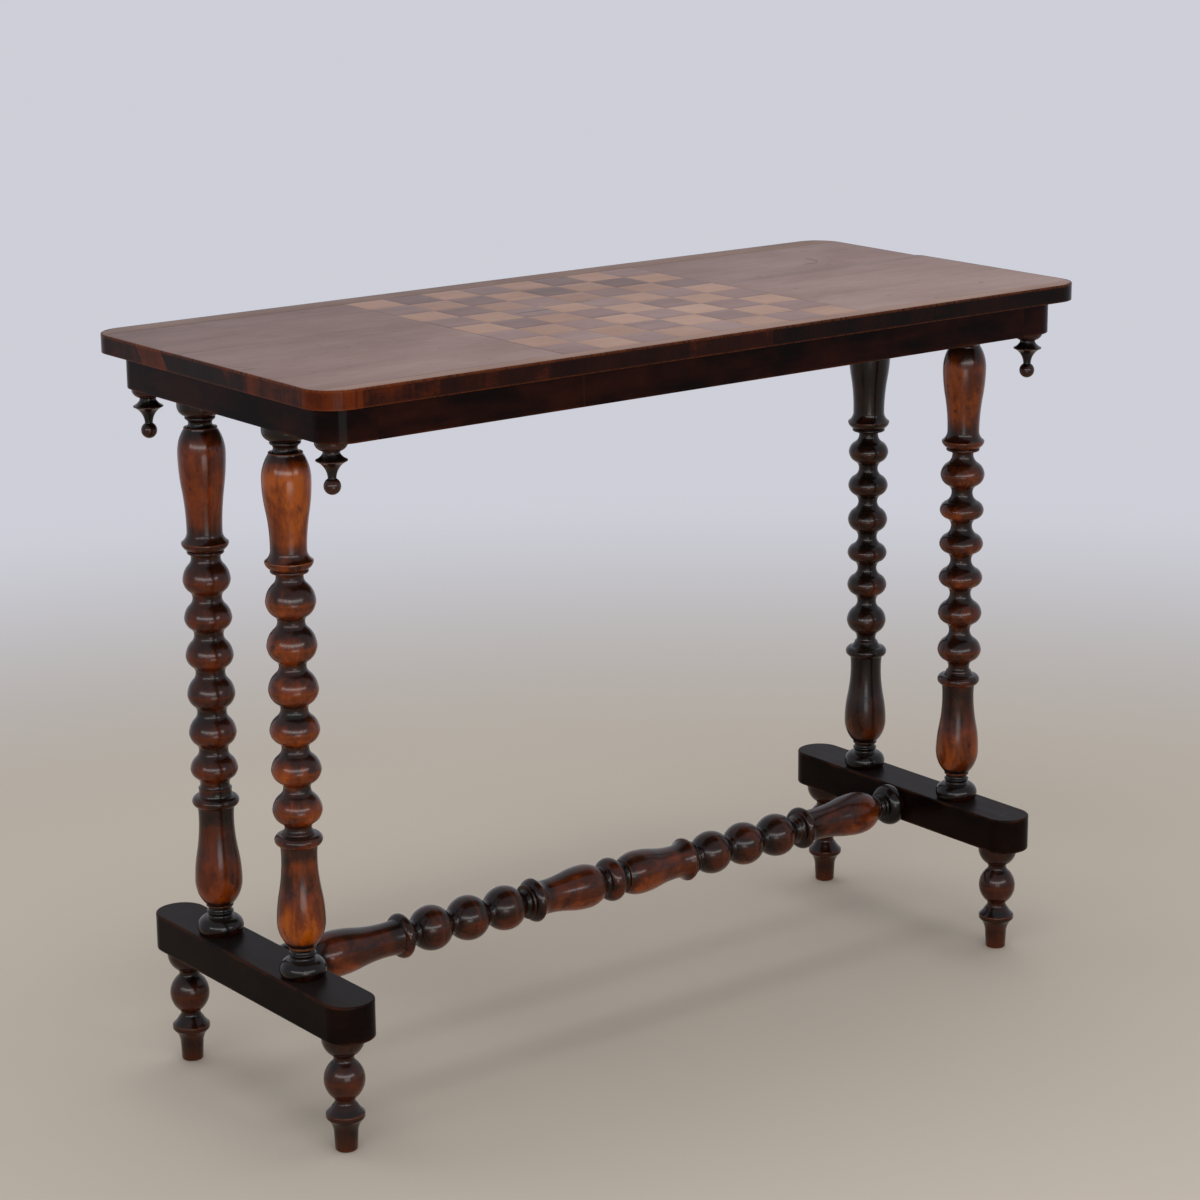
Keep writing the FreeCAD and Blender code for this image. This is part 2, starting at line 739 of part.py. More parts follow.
def make_bar(side, sign):
    """A trestle's foot bar, with round ends and with mortises for legs, feet and stretcher."""
    half_width = s.bar_width / 2
    straight = bar_half_length - half_width
    plan = Outline(half_width, -straight)
    plan.line(half_width, straight)
    plan.arc(ZERO, straight + half_width, half_width, 1)
    plan.arc(-half_width, straight, half_width, 1)
    plan.line(-half_width, -straight)
    plan.arc(ZERO, -straight - half_width, half_width, 1)
    plan.closing = (half_width, 1)
    body = plate(f"foot_bar_{side}", plan, s.bar_height)
    for face, face_sign in FACES.items():
        foot = (ZERO, foot_offset * face_sign, ZERO)
        bore(body, f"foot_mortise_{side}_{face}", foot, mortise_radius, mortise_depth)
        leg = (ZERO, leg_offset * face_sign, s.bar_height - mortise_depth)
        bore(body, f"bar_mortise_{side}_{face}", leg, mortise_radius, mortise_depth)
    inner = (-half_width, ZERO, s.stretcher_height - s.bar_underside)
    bore(body, f"stretcher_mortise_{side}", inner, mortise_radius, mortise_depth, Y_AXIS, 90)
    place(body, trestle_offset * sign, ZERO, s.bar_underside, angle=facing(sign))
    return body


def turn_foot():
    """The pattern of a foot: a peg, a disc, a ball and a cup below the bar, with a tenon up into it."""
    height = (s.peg_length + s.peg_flare_height + s.disc_bevel_height + s.disc_edge_height
              + s.disc_shoulder_height + s.foot_neck_length + s.foot_ball_length
              + s.foot_upper_neck_length + s.foot_cup_height + s.foot_cup_band_height)
    turning = Turning(ZERO, named("foot_stretch", s.bar_underside / height))
    turning.step(s.peg_end_radius)
    turning.taper(s.peg_end_radius + s.peg_end_round, s.peg_end_round)
    turning.taper(s.peg_radius, s.peg_length - s.peg_end_round)
    turning.leave(s.peg_flare_radius, s.peg_flare_height)
    turning.bulge(s.disc_radius, s.disc_bevel_height, s.disc_bevel_bulge)
    turning.band(s.disc_edge_height)
    turning.bulge(s.disc_shoulder_radius, s.disc_shoulder_height, s.disc_shoulder_bulge)
    turning.dip(s.foot_ball_end_radius, s.foot_neck_length, s.foot_neck_depth)
    turning.bulge(s.foot_ball_end_radius, s.foot_ball_length, s.foot_ball_bulge)
    turning.step(s.foot_cup_foot_radius)
    turning.dip(s.foot_cup_foot_radius, s.foot_upper_neck_length, s.foot_upper_neck_depth)
    turning.arrive(s.foot_cup_radius, s.foot_cup_height)
    turning.band(s.foot_cup_band_height)
    turning.tenon()
    turning.step(ZERO)
    return turning.make("foot_pattern")


def make_stretcher():
    """The turned stretcher between the foot bars, the same on both sides of its middle ring."""
    half_span = named("stretcher_half_span", trestle_offset - s.bar_width / 2)
    middle = (s.ring_half_width + s.ring_neck_length + s.baluster_foot_length + s.baluster_taper_length
              + s.baluster_flare_length + cup_collar_height)
    stretch = named("stretcher_stretch", half_span / (base_and_vase_height + s.ball_run_length + middle))
    turning = Turning(-half_span - s.tenon_length, stretch)
    turning.tenon()
    add_base_and_vase(turning, s.ball_neck_radius, s.ball_cove)
    ball = (s.ball_radius, s.ball_neck_radius, s.ball_cove)
    turning.beads("ball", BALLS_PER_SIDE, s.ball_run_length, *ball)
    add_cup_collar(turning)
    turning.arrive(s.baluster_waist_radius, s.baluster_flare_length)
    turning.swell(s.baluster_radius, s.baluster_taper_length)
    turning.leave(s.baluster_foot_radius, s.baluster_foot_length)
    turning.dip(s.ring_foot_radius, s.ring_neck_length, s.ring_neck_depth)
    turning.arrive(s.ring_radius, s.ring_half_width)
    turning.step(ZERO)
    body = turning.make("stretcher")
    other_half = body.newObject("PartDesign::Mirrored", "stretcher_other_half")
    other_half.Originals = [body.Tip]
    other_half.MirrorPlane = (origin_plane(body, "XY_Plane"), [""])
    body.Tip = other_half
    place(body, z=s.stretcher_height, axis=Y_AXIS, angle=90)
    return body


def turn_finial():
    """The pattern of a drop finial below a corner of the apron, with a spigot up into the bearer."""
    depth = (s.finial_band_height + s.finial_collar_height + s.finial_neck_length
             + s.finial_disc_slope_height + s.finial_disc_edge + s.finial_stem_length
             + s.finial_ball_neck_length + s.finial_ball_radius)
    turning = Turning(-depth)
    turning.arrive(s.finial_ball_radius, s.finial_ball_radius)
    turning.leave(s.finial_stem_radius, s.finial_ball_neck_length)
    turning.leave(s.finial_disc_radius, s.finial_stem_length)
    turning.band(s.finial_disc_edge)
    turning.dip(s.finial_neck_radius, s.finial_disc_slope_height, s.finial_disc_slope_depth)
    turning.band(s.finial_neck_length)
    turning.bulge(s.finial_collar_radius, s.finial_collar_height, s.finial_collar_bulge)
    turning.band(s.finial_band_height)
    turning.step(s.finial_spigot_radius)
    turning.band(s.finial_spigot_length)
    turning.step(ZERO)
    return turning.make("finial_pattern")


def build():
    """Every piece of the table."""
    pieces = make_slab() + make_squares()
    for side, sign in SIDES.items():
        pieces += [make_bearer(side, sign), make_bar(side, sign)]
    leg = turn_leg()
    foot = turn_foot()
    finial = turn_finial()
    for face, face_sign in FACES.items():
        pieces += [make_rail(face, face_sign), make_glue_blocks(face, face_sign)]
        for side, sign in SIDES.items():
            corner = f"{face}_{side}"
            x = trestle_offset * sign
            pieces.append(set_out(f"leg_{corner}", leg, x, leg_offset * face_sign, bar_top))
            pieces.append(set_out(f"foot_{corner}", foot, x, foot_offset * face_sign, ZERO))
            at = (finial_x * sign, finial_y * face_sign, apron_underside)
            pieces.append(set_out(f"drop_finial_{corner}", finial, *at))
    return pieces + [make_stretcher(), make_screws()]


def check(pieces):
    """Stops if an object failed, a hole cut nothing or a piece has no valid solid."""
    for thing in doc.Objects:
        if "Invalid" in thing.State or "Error" in thing.State:
            raise RuntimeError(f"{thing.Label}: {thing.State}")
        if thing.TypeId.startswith("PartDesign::Subtractive"):
            if thing.Shape.Volume >= thing.BaseFeature.Shape.Volume:
                raise RuntimeError(f"{thing.Label} cuts nothing")
    for piece in pieces:
        if piece.Shape.isNull() or not piece.Shape.isValid() or not piece.Shape.Solids:
            raise RuntimeError(f"{piece.Label} has no valid solid")


table = build()
doc.recompute()
check(table)
os.makedirs("parts", exist_ok=True)
for piece in table:
    piece.Shape.exportStep(f"parts/{piece.Label}.step")
    print(f"{piece.Label}: {len(piece.Shape.Solids)} solids, {piece.Shape.Volume:.0f} mm3")
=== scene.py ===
"""A chess table with an inlaid board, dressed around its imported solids.

Sizes in the classes are millimetres, as a turner writes them down. Colours are 0 to 255, as on a paint
chart. Meshes are in metres.
"""

from __future__ import annotations

import json
import logging
import math
import random
from dataclasses import dataclass, field
from enum import Enum
from itertools import product
from typing import Callable, Iterable, Sequence

import bmesh
import bpy
from mathutils import Matrix, Vector

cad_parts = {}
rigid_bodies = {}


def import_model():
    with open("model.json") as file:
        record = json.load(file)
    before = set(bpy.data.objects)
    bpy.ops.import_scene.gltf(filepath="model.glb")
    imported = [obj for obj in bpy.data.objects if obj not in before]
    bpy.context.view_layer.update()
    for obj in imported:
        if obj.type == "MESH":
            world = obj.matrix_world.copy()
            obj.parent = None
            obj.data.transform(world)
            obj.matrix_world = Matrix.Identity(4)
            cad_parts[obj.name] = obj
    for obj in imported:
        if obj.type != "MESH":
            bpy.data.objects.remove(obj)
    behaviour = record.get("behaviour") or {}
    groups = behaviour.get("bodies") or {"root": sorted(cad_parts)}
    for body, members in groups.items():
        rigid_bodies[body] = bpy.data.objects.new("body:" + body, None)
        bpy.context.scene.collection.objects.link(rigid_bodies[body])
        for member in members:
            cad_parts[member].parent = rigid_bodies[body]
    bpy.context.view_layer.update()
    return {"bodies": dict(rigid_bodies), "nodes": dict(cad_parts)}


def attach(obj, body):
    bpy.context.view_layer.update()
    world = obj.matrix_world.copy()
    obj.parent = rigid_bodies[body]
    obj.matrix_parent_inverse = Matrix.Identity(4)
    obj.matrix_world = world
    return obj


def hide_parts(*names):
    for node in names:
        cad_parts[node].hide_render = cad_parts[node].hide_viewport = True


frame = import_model()

Spot = tuple[float, float]
Triple = tuple[float, float, float]
Four = tuple[float, float, float, float]
Colour = Triple
Path = list[tuple[Vector, Vector]]

LOG = logging.getLogger("chess_table")
MM = 0.001
BODY = "root"
BLACK: Colour = (0, 0, 0)
# A quarter turn in six steps, for the round of an arris
BEND = [math.radians(15 * step) for step in range(7)]


def linear(colour: Colour) -> Colour:
    """Turn a colour as a paint chart gives it into linear light.

    Args:
        colour: Red, green and blue, 0 to 255.

    Returns:
        The three linear parts.
    """
    shares = [part / 255 for part in colour]
    return tuple(share / 12.92 if share <= 0.04045 else ((share + 0.055) / 1.055) ** 2.4 for share in shares)


def operation(kind: str, turned: bool = False) -> Callable[..., Value]:
    """Make a method of Value that adds one kind of Math node.

    Args:
        kind: The node's operation.
        turned: Whether the other value comes first.

    Returns:
        The method.
    """
    def act(value: Value, *others: Number) -> Value:
        """Add the node."""
        inputs = (*others, value) if turned else (value, *others)
        return value.paint.node("ShaderNodeMath", {"operation": kind}, dict(enumerate(inputs)))

    return act


class Value:
    """One output socket, with the arithmetic that adds Math nodes."""

    def __init__(self, paint: Paint, socket: bpy.types.NodeSocket) -> None:
        """Keep the socket and the tree it is in."""
        self.paint = paint
        self.socket = socket

    __add__ = __radd__ = operation("ADD")
    __sub__ = operation("SUBTRACT")
    __rsub__ = operation("SUBTRACT", turned=True)
    __mul__ = __rmul__ = operation("MULTIPLY")
    __pow__ = operation("POWER")
    __abs__ = operation("ABSOLUTE")

    def within(self, low: float, high: float) -> Value:
        """Rise smoothly from 0 at low to 1 at high, or fall where high is below low."""
        return self.paint.node("ShaderNodeMapRange", {"interpolation_type": "SMOOTHSTEP"},
                               {"Value": self, "From Min": low, "From Max": high})


Number = float | Value


class Paint:
    """The node tree of a material or of the room, built up by expressions."""

    def __init__(self, name: str, store: str = "materials") -> None:
        """Start an empty tree.

        Args:
            name: The material's name.
            store: Where Blender keeps it: materials or worlds.
        """
        self.material = getattr(bpy.data, store).new(name)
        self.material.use_nodes = True
        self.tree = self.material.node_tree
        self.tree.nodes.clear()

    @staticmethod
    def pick(sockets: Iterable[bpy.types.NodeSocket], key: str | int) -> bpy.types.NodeSocket:
        """Find a socket by its identifier, its name or its place.

        Args:
            sockets: A node's inputs or outputs.
            key: What to look for.

        Returns:
            The socket.
        """
        if isinstance(key, int):
            return sockets[key]
        found = [socket for socket in sockets if socket.identifier == key]
        return found[0] if found else sockets[key]

    def node(self, kind: str, settings: dict | None = None, sockets: dict | None = None,
             output: str | int = 0) -> Value:
        """Add a node.

        Args:
            kind: The node's type.
            settings: Its own settings; "stops" fills a colour ramp.
            sockets: Numbers, colours or values for its inputs.
            output: The output that is wanted.

        Returns:
            That output.
        """
        made = self.tree.nodes.new(kind)
        for key, setting in (settings or {}).items():
            if key != "stops":
                setattr(made, key, setting)
                continue
            points = made.color_ramp.elements
            while len(points) < len(setting):
                points.new(1.0)
            for point, (place, colour) in zip(points, setting):
                point.position = place
                point.color = (*linear(colour), 1.0)
        for key, value in (sockets or {}).items():
            socket = self.pick(made.inputs, key)
            if isinstance(value, Value):
                self.tree.links.new(value.socket, socket)
            elif socket.type == "RGBA":
                socket.default_value = (*linear(value), 1.0)
            else:
                socket.default_value = value
        return Value(self, self.pick(made.outputs, output))

    def mix(self, share: Number, first: Colour | Value, second: Colour | Value) -> Value:
        """Lay a second colour over a first, as much as the share says."""
        return self.node("ShaderNodeMix", {"data_type": "RGBA", "blend_type": "MIX"},
                         {"Factor_Float": share, "A_Color": first, "B_Color": second}, "Result_Color")

    def ramp(self, share: Value, *stops: tuple[float, Colour]) -> Value:
        """Look a share up on a colour ramp."""
        return self.node("ShaderNodeValToRGB", {"stops": stops}, {"Fac": share})

    def vector(self, kind: str, first: Value, second: Triple | Value, output: str | int = 0) -> Value:
        """Add a Vector Math node on two points."""
        return self.node("ShaderNodeVectorMath", {"operation": kind}, {0: first, 1: second}, output)

    def mark(self, name: str) -> Value:
        """Read a number that the mesh carries at each point."""
        return self.node("ShaderNodeAttribute", {"attribute_name": name}, output="Fac")

    def place(self, seed: float = 0.0) -> Value:
        """Give the point in the piece's own frame, moved on by a seed for a fresh pattern."""
        away = (seed * 1.37, seed * 0.71, seed * 2.13)
        return self.vector("ADD", self.node("ShaderNodeTexCoord", output="Object"), away)

    def part(self, place: Value, axis: str) -> Value:
        """Take one of a point's three parts."""
        return self.node("ShaderNodeSeparateXYZ", None, {"Vector": place}, axis)

    def noise(self, place: Value, times: Triple, detail: float = 4.0, rough: float = 0.55,
              bend: float = 0.0) -> Value:
        """Give soft noise.

        Args:
            place: The point.
            times: Noise cells in a metre along each axis.
            detail: How many finer layers are added.
            rough: How strong these are.
            bend: How far the pattern is twisted.

        Returns:
            Noise about 0.5.
        """
        return self.node("ShaderNodeTexNoise", None, {
            "Vector": self.vector("MULTIPLY", place, times), "Scale": 1.0, "Detail": detail,
            "Roughness": rough, "Distortion": bend})

    def up(self) -> Value:
        """Say how far the surface looks up."""
        return self.part(self.node("ShaderNodeNewGeometry", output="Normal"), "Z")

    def bump(self, height: Value, strength: float, depth: float = 0.0005) -> Value:
        """Turn a height into a normal; depth is what a height of 1 stands for, in metres."""
        return self.node("ShaderNodeBump", None, {"Strength": strength, "Distance": depth, "Height": height})

    def surface(self, **sockets: Number | Colour) -> bpy.types.Material:
        """Close the tree with a shader.

        Args:
            sockets: Its inputs, with underscores for spaces.

        Returns:
            The material.
        """
        named = {key.replace("_", " "): value for key, value in sockets.items()}
        self.close("ShaderNodeOutputMaterial", self.node("ShaderNodeBsdfPrincipled", None, named))
        return self.material

    def close(self, kind: str, shader: Value) -> None:
        """Link a shader to the tree's output."""
        end = self.tree.nodes.new(kind)
        self.tree.links.new(shader.socket, end.inputs["Surface"])


@dataclass(frozen=True)
class DarkStroke:
    """A dark stroke from one point to another: scratches, chips, spots and seams, and one wide, faint band
    of painted shade.
    """

    start: Spot
    end: Spot
    width: float
    strength: float = 0.8

    def mask(self, paint: Paint) -> Value:
        """Give 1 on the mark and 0 off it.

        Args:
            paint: The tree to build in.

        Returns:
            The mask.
        """
        place = paint.place()
        (x0, y0), (x1, y1) = self.start, self.end
        length = math.hypot(x1 - x0, y1 - y0)
        along = ((x1 - x0) / length, (y1 - y0) / length)
        x = paint.part(place, "X") * (1 / MM) - x0
        y = paint.part(place, "Y") * (1 / MM) - y0
        run = x * along[0] + y * along[1]
        off = abs(y * along[0] - x * along[1])
        ends = abs(run - length / 2).within(length / 2 + self.width, length / 2 - self.width)
        broken = paint.noise(place, (260, 260, 260), 3, 0.6).within(0.22, 0.42)
        return off.within(self.width, self.width * 0.3) * ends * broken * self.strength


@dataclass(frozen=True)
class TurnedPolish:
    """Old polish on turned wood: amber where hands rub, black in the hollows; faces that look up carry
    painted shade, and arrises and crests a painted glint as well as wear.
    """

    worn: Colour
    warm: Colour
    deep: Colour
    grime: Colour
    seed: float
    darker: float = 0.0
    blotch: float = 0.42
    gloss: float = 0.2
    dust_colour: Colour = (92, 80, 72)

    def material(self, name: str) -> bpy.types.Material:
        """Build the finish.

        Args:
            name: The material's name.

        Returns:
            The material.
        """
        paint = Paint(name)
        place = paint.place(self.seed)
        streak = paint.noise(place, (110, 110, 16), 2, 0.6, 0.8)
        cloud = paint.noise(place, (34, 34, 26), 4, 0.66, 0.5)
        fibre = paint.noise(place, (700, 700, 40), 2, 0.6)
        lathe = paint.noise(place, (25, 25, 1300), 2, 0.5)
        wave = paint.noise(place, (42, 42, 30), 1, 0.4)
        smudge = paint.noise(place, (85, 85, 60), 4, 0.62, 0.5).within(0.6, 0.72)
        hollow = paint.mark("hollow")
        rim = paint.mark("rim") * cloud.within(0.3, 0.55)
        up = paint.up()
        tone = paint.mark("tint") + hollow * 0.3 + self.darker
        tone = tone + (cloud.within(0.3, 0.7) - 0.5) * self.blotch
        # up * 0.2 is painted shade with some grime: faces that look up, under the top, come out darker, and
        # faces that look down come out lighter
        tone = tone + (streak - 0.5) * 0.5 + (fibre - 0.5) * 0.1 + up * 0.2 + smudge * 0.4
        colour = paint.ramp(tone, (0.0, self.worn), (0.3, self.warm), (0.62, self.deep), (1.0, self.grime))
        # Arrises, fillets and bead crests turn towards the worn amber: partly wear, partly a painted glint
        colour = paint.mix(rim * 0.75, colour, self.worn)
        dust = up.within(0.8, 1.0) * 0.1
        colour = paint.mix(dust, colour, self.dust_colour)
        rough = self.gloss + (cloud - 0.4) * 0.12 + hollow * 0.06 + dust + smudge * 0.08
        relief = fibre * 0.008 + lathe * 0.01 + wave * 2.0
        return paint.surface(Base_Color=colour, Roughness=rough, IOR=1.3, Coat_Weight=0.14,
                             Coat_Roughness=0.16, Normal=paint.bump(relief, 0.22))


@dataclass(frozen=True)
class VeneerPolish:
    """Faded veneer under a hazy old polish, with its grain along the table and a painted sheen that grows
    towards the front right.
    """

    pale: Colour
    middle: Colour
    dark: Colour
    seed: float
    marks: tuple[DarkStroke, ...] = ()
    gloss: float = 0.48
    figure: float = 0.32
    spot_colour: Colour = (52, 38, 34)
    line_colour: Colour = (60, 44, 38)
    dirt: Colour = (38, 26, 22)
    # The colour of the dark strokes: bruises, and painted shade for the wide, faint band along the joint
    bruise_and_shade: Colour = (34, 24, 21)

    def material(self, name: str) -> bpy.types.Material:
        """Build the finish.

        Args:
            name: The material's name.

        Returns:
            The material.
        """
        paint = Paint(name)
        tone = paint.mark("tone")
        flat = paint.place(self.seed)
        leaf = paint.node("ShaderNodeCombineXYZ", None, {"X": tone * 3.0, "Y": tone * 7.0})
        place = paint.vector("ADD", flat, leaf)
        band = paint.noise(place, (3.2, 42, 20), 3, 0.55, 0.6)
        streak = paint.noise(place, (7, 240, 90), 5, 0.65, 0.15)
        pore = paint.noise(place, (55, 1500, 400), 2, 0.6)
        cloud = paint.noise(flat, (7, 11, 9), 4, 0.6, 0.3)
        share = 0.5 + (band - 0.5) * self.figure + (streak - 0.5) * 0.3 + (pore - 0.5) * 0.4
        # The fade mark makes the leaves paler towards the front right: a painted sheen
        share = share + (cloud - 0.5) * 0.5 + (tone - 0.5) * 0.8 + (0.5 - paint.mark("fade")) * 0.45
        colour = paint.ramp(share, (0.12, self.pale), (0.5, self.middle), (0.88, self.dark))
        fleck = pore.within(0.62, 0.74) * streak.within(0.45, 0.6)
        spot = paint.noise(flat, (90, 70, 60), 2, 0.5).within(0.7, 0.78)
        line = paint.noise(flat, (9, 380, 50), 2, 0.4, 0.4).within(0.72, 0.78)
        border = paint.mark("border")
        layers = [(fleck * 0.4, self.dark), (spot * 0.45, self.spot_colour), (line * 0.3, self.line_colour),
                  (border, self.dirt)]
        for cover, over in layers + [(scratch.mask(paint), self.bruise_and_shade) for scratch in self.marks]:
            colour = paint.mix(cover, colour, over)
        rough = self.gloss + (cloud - 0.5) * 0.2 + (pore - 0.5) * 0.12 + border * 0.2 + line * 0.1
        relief = streak * 0.3 + pore * 0.25 + band * 0.8 + cloud * 3.0 - line * 0.4
        return paint.surface(Base_Color=colour, Roughness=rough, Specular_IOR_Level=0.32,
                             Normal=paint.bump(relief, 0.2))


@dataclass(frozen=True)
class Patch:
    """A stretch of the run of the edge's cross-grain veneer, and its tone."""

    start: float
    end: float
    tone: float
    lean: float = 0.0


@dataclass(frozen=True)
class EdgePolish:
    """Cross-grain veneer leaves round the edge of the top, worn along their arrises."""

    light: Colour
    middle: Colour
    dark: Colour
    seed: float
    patches: tuple[Patch, ...] = ()
    seam: float = 0.3
    rubbed: Colour = (118, 58, 24)

    def material(self, name: str) -> bpy.types.Material:
        """Build the finish.

        Args:
            name: The material's name.

        Returns:
            The material.
        """
        paint = Paint(name)
        run = paint.mark("run")
        height = paint.mark("height")
        place = paint.node("ShaderNodeCombineXYZ", None, {"X": run, "Y": height, "Z": self.seed})
        tone = (paint.noise(place, (0.03, 0.002, 1.0), 3, 0.6) - 0.5) * 0.7 + 0.5
        for patch in self.patches:
            at = run + height * patch.lean
            inside = (at.within(patch.start - self.seam, patch.start + self.seam)
                      * at.within(patch.end + self.seam, patch.end - self.seam))
            tone = tone + inside * patch.tone
        grain = paint.noise(place, (0.55, 0.035, 1.0), 5, 0.65, 0.4)
        fibre = paint.noise(place, (3.5, 0.12, 1.0), 2, 0.5)
        seam = paint.noise(place, (0.16, 0.001, 1.0), 0, 0.5).within(0.68, 0.7)
        cloud = paint.noise(place, (0.05, 0.11, 1.0), 4, 0.6, 0.5)
        share = tone + (grain - 0.5) * 0.34 + (fibre - 0.5) * 0.1 + (cloud - 0.5) * 0.5
        colour = paint.ramp(share, (0.05, self.light), (0.45, self.middle), (0.9, self.dark))
        colour = paint.mix(seam * 0.35, colour, self.dark)
        worn = paint.mark("rim") * grain.within(0.3, 0.62)
        colour = paint.mix(worn * 0.5, colour, self.rubbed)
        rough = 0.22 + (grain - 0.5) * 0.2 + worn * 0.15
        relief = grain * 0.7 + fibre * 0.3 - seam * 0.6
        return paint.surface(Base_Color=colour, Roughness=rough, IOR=1.14, Coat_Weight=0.05,
                             Coat_Roughness=0.12, Normal=paint.bump(relief, 0.1))


@dataclass(frozen=True)
class DarkPolish:
    """Almost black polish on flat pieces, rubbed at the arrises, with a grey on faces that look up that is
    partly dust and partly a painted sheen.
    """

    dark: Colour
    brown: Colour
    rubbed: Colour
    seed: float
    along: Triple
    # dust and dust_colour: grey on faces that look up, partly dust, partly a painted sheen
    dust: float = 0.0
    dust_colour: Colour = (46, 40, 39)
    marks: tuple[DarkStroke, ...] = ()

    def material(self, name: str) -> bpy.types.Material:
        """Build the finish.

        Args:
            name: The material's name.

        Returns:
            The material.
        """
        paint = Paint(name)
        place = paint.place(self.seed)
        grain = paint.noise(place, self.along, 6, 0.62, 0.4)
        fibre = paint.noise(place, tuple(9 * times for times in self.along), 3, 0.6)
        cloud = paint.noise(place, (13, 13, 22), 4, 0.6, 0.3)
        share = cloud.within(0.3, 0.75) * 0.6 + (grain - 0.5) * 0.7 + (fibre - 0.5) * 0.3
        colour = paint.ramp(share, (0.0, self.dark), (0.75, self.brown))
        rim = paint.mark("rim") * cloud.within(0.4, 0.62)
        colour = paint.mix(rim * 0.55, colour, self.rubbed)
        # Faces that look up go grey: partly dust, partly a painted sheen
        dust_and_sheen = paint.up().within(0.6, 0.95) * (0.55 + grain * 0.9) * self.dust
        colour = paint.mix(dust_and_sheen, colour, self.dust_colour)
        for scratch in self.marks:
            colour = paint.mix(scratch.mask(paint), colour, self.rubbed)
        rough = 0.2 + (cloud - 0.5) * 0.2 + (grain - 0.5) * 0.12 + dust_and_sheen * 0.5
        relief = grain * 0.6 + fibre * 0.2 + cloud * 2.2
        return paint.surface(Base_Color=colour, Roughness=rough, IOR=1.1, Coat_Weight=0.03,
                             Coat_Roughness=0.14, Normal=paint.bump(relief, 0.22, 0.0006))


@dataclass(frozen=True)
class BareWood:
    """Unpolished wood that only shows from below, browned by age."""

    light: Colour
    dark: Colour
    along: Triple
    seed: float

    def material(self, name: str) -> bpy.types.Material:
        """Build the finish.

        Args:
            name: The material's name.

        Returns:
            The material.
        """
        paint = Paint(name)
        place = paint.place(self.seed)
        grain = paint.noise(place, self.along, 6, 0.65, 0.5)
        fibre = paint.noise(place, tuple(8 * times for times in self.along), 3, 0.6)
        cloud = paint.noise(place, (6, 9, 14), 4, 0.6)
        saw = paint.noise(place, (420, 6, 6), 1, 0.5)
        share = grain * 0.7 + (fibre - 0.5) * 0.4 + (cloud - 0.3) * 0.5
        colour = paint.ramp(share, (0.2, self.light), (0.75, self.dark))
        relief = grain * 0.6 + fibre * 0.5 + saw * 0.5
        return paint.surface(Base_Color=colour, Roughness=0.72 + (grain - 0.5) * 0.2,
                             Normal=paint.bump(relief, 0.35))


@dataclass(frozen=True)
class OldSteel:
    """Screws gone brown."""

    seed: float = 1.5
    bright: Colour = (128, 124, 118)
    dull: Colour = (92, 70, 54)
    rusty: Colour = (70, 42, 26)

    def material(self, name: str) -> bpy.types.Material:
        """Build the finish.

        Args:
            name: The material's name.

        Returns:
            The material.
        """
        paint = Paint(name)
        place = paint.place(self.seed)
        rust = paint.noise(place, (420, 420, 420), 5, 0.65)
        brushed = paint.noise(place, (2500, 300, 300), 2, 0.5)
        colour = paint.ramp(rust, (0.38, self.bright), (0.52, self.dull), (0.7, self.rusty))
        return paint.surface(Base_Color=colour, Metallic=rust.within(0.62, 0.4) * 0.9,
                             Roughness=0.35 + rust * 0.4 + brushed * 0.1,
                             Normal=paint.bump(rust + brushed * 0.3, 0.3, 0.0002))


Finish = TurnedPolish | VeneerPolish | EdgePolish | DarkPolish | BareWood | OldSteel


@dataclass
class Row:
    """One ring of a turned piece: its radius and height, and how it is coloured."""

    radius: float
    height: float
    tint: float
    rim: float = 0.0


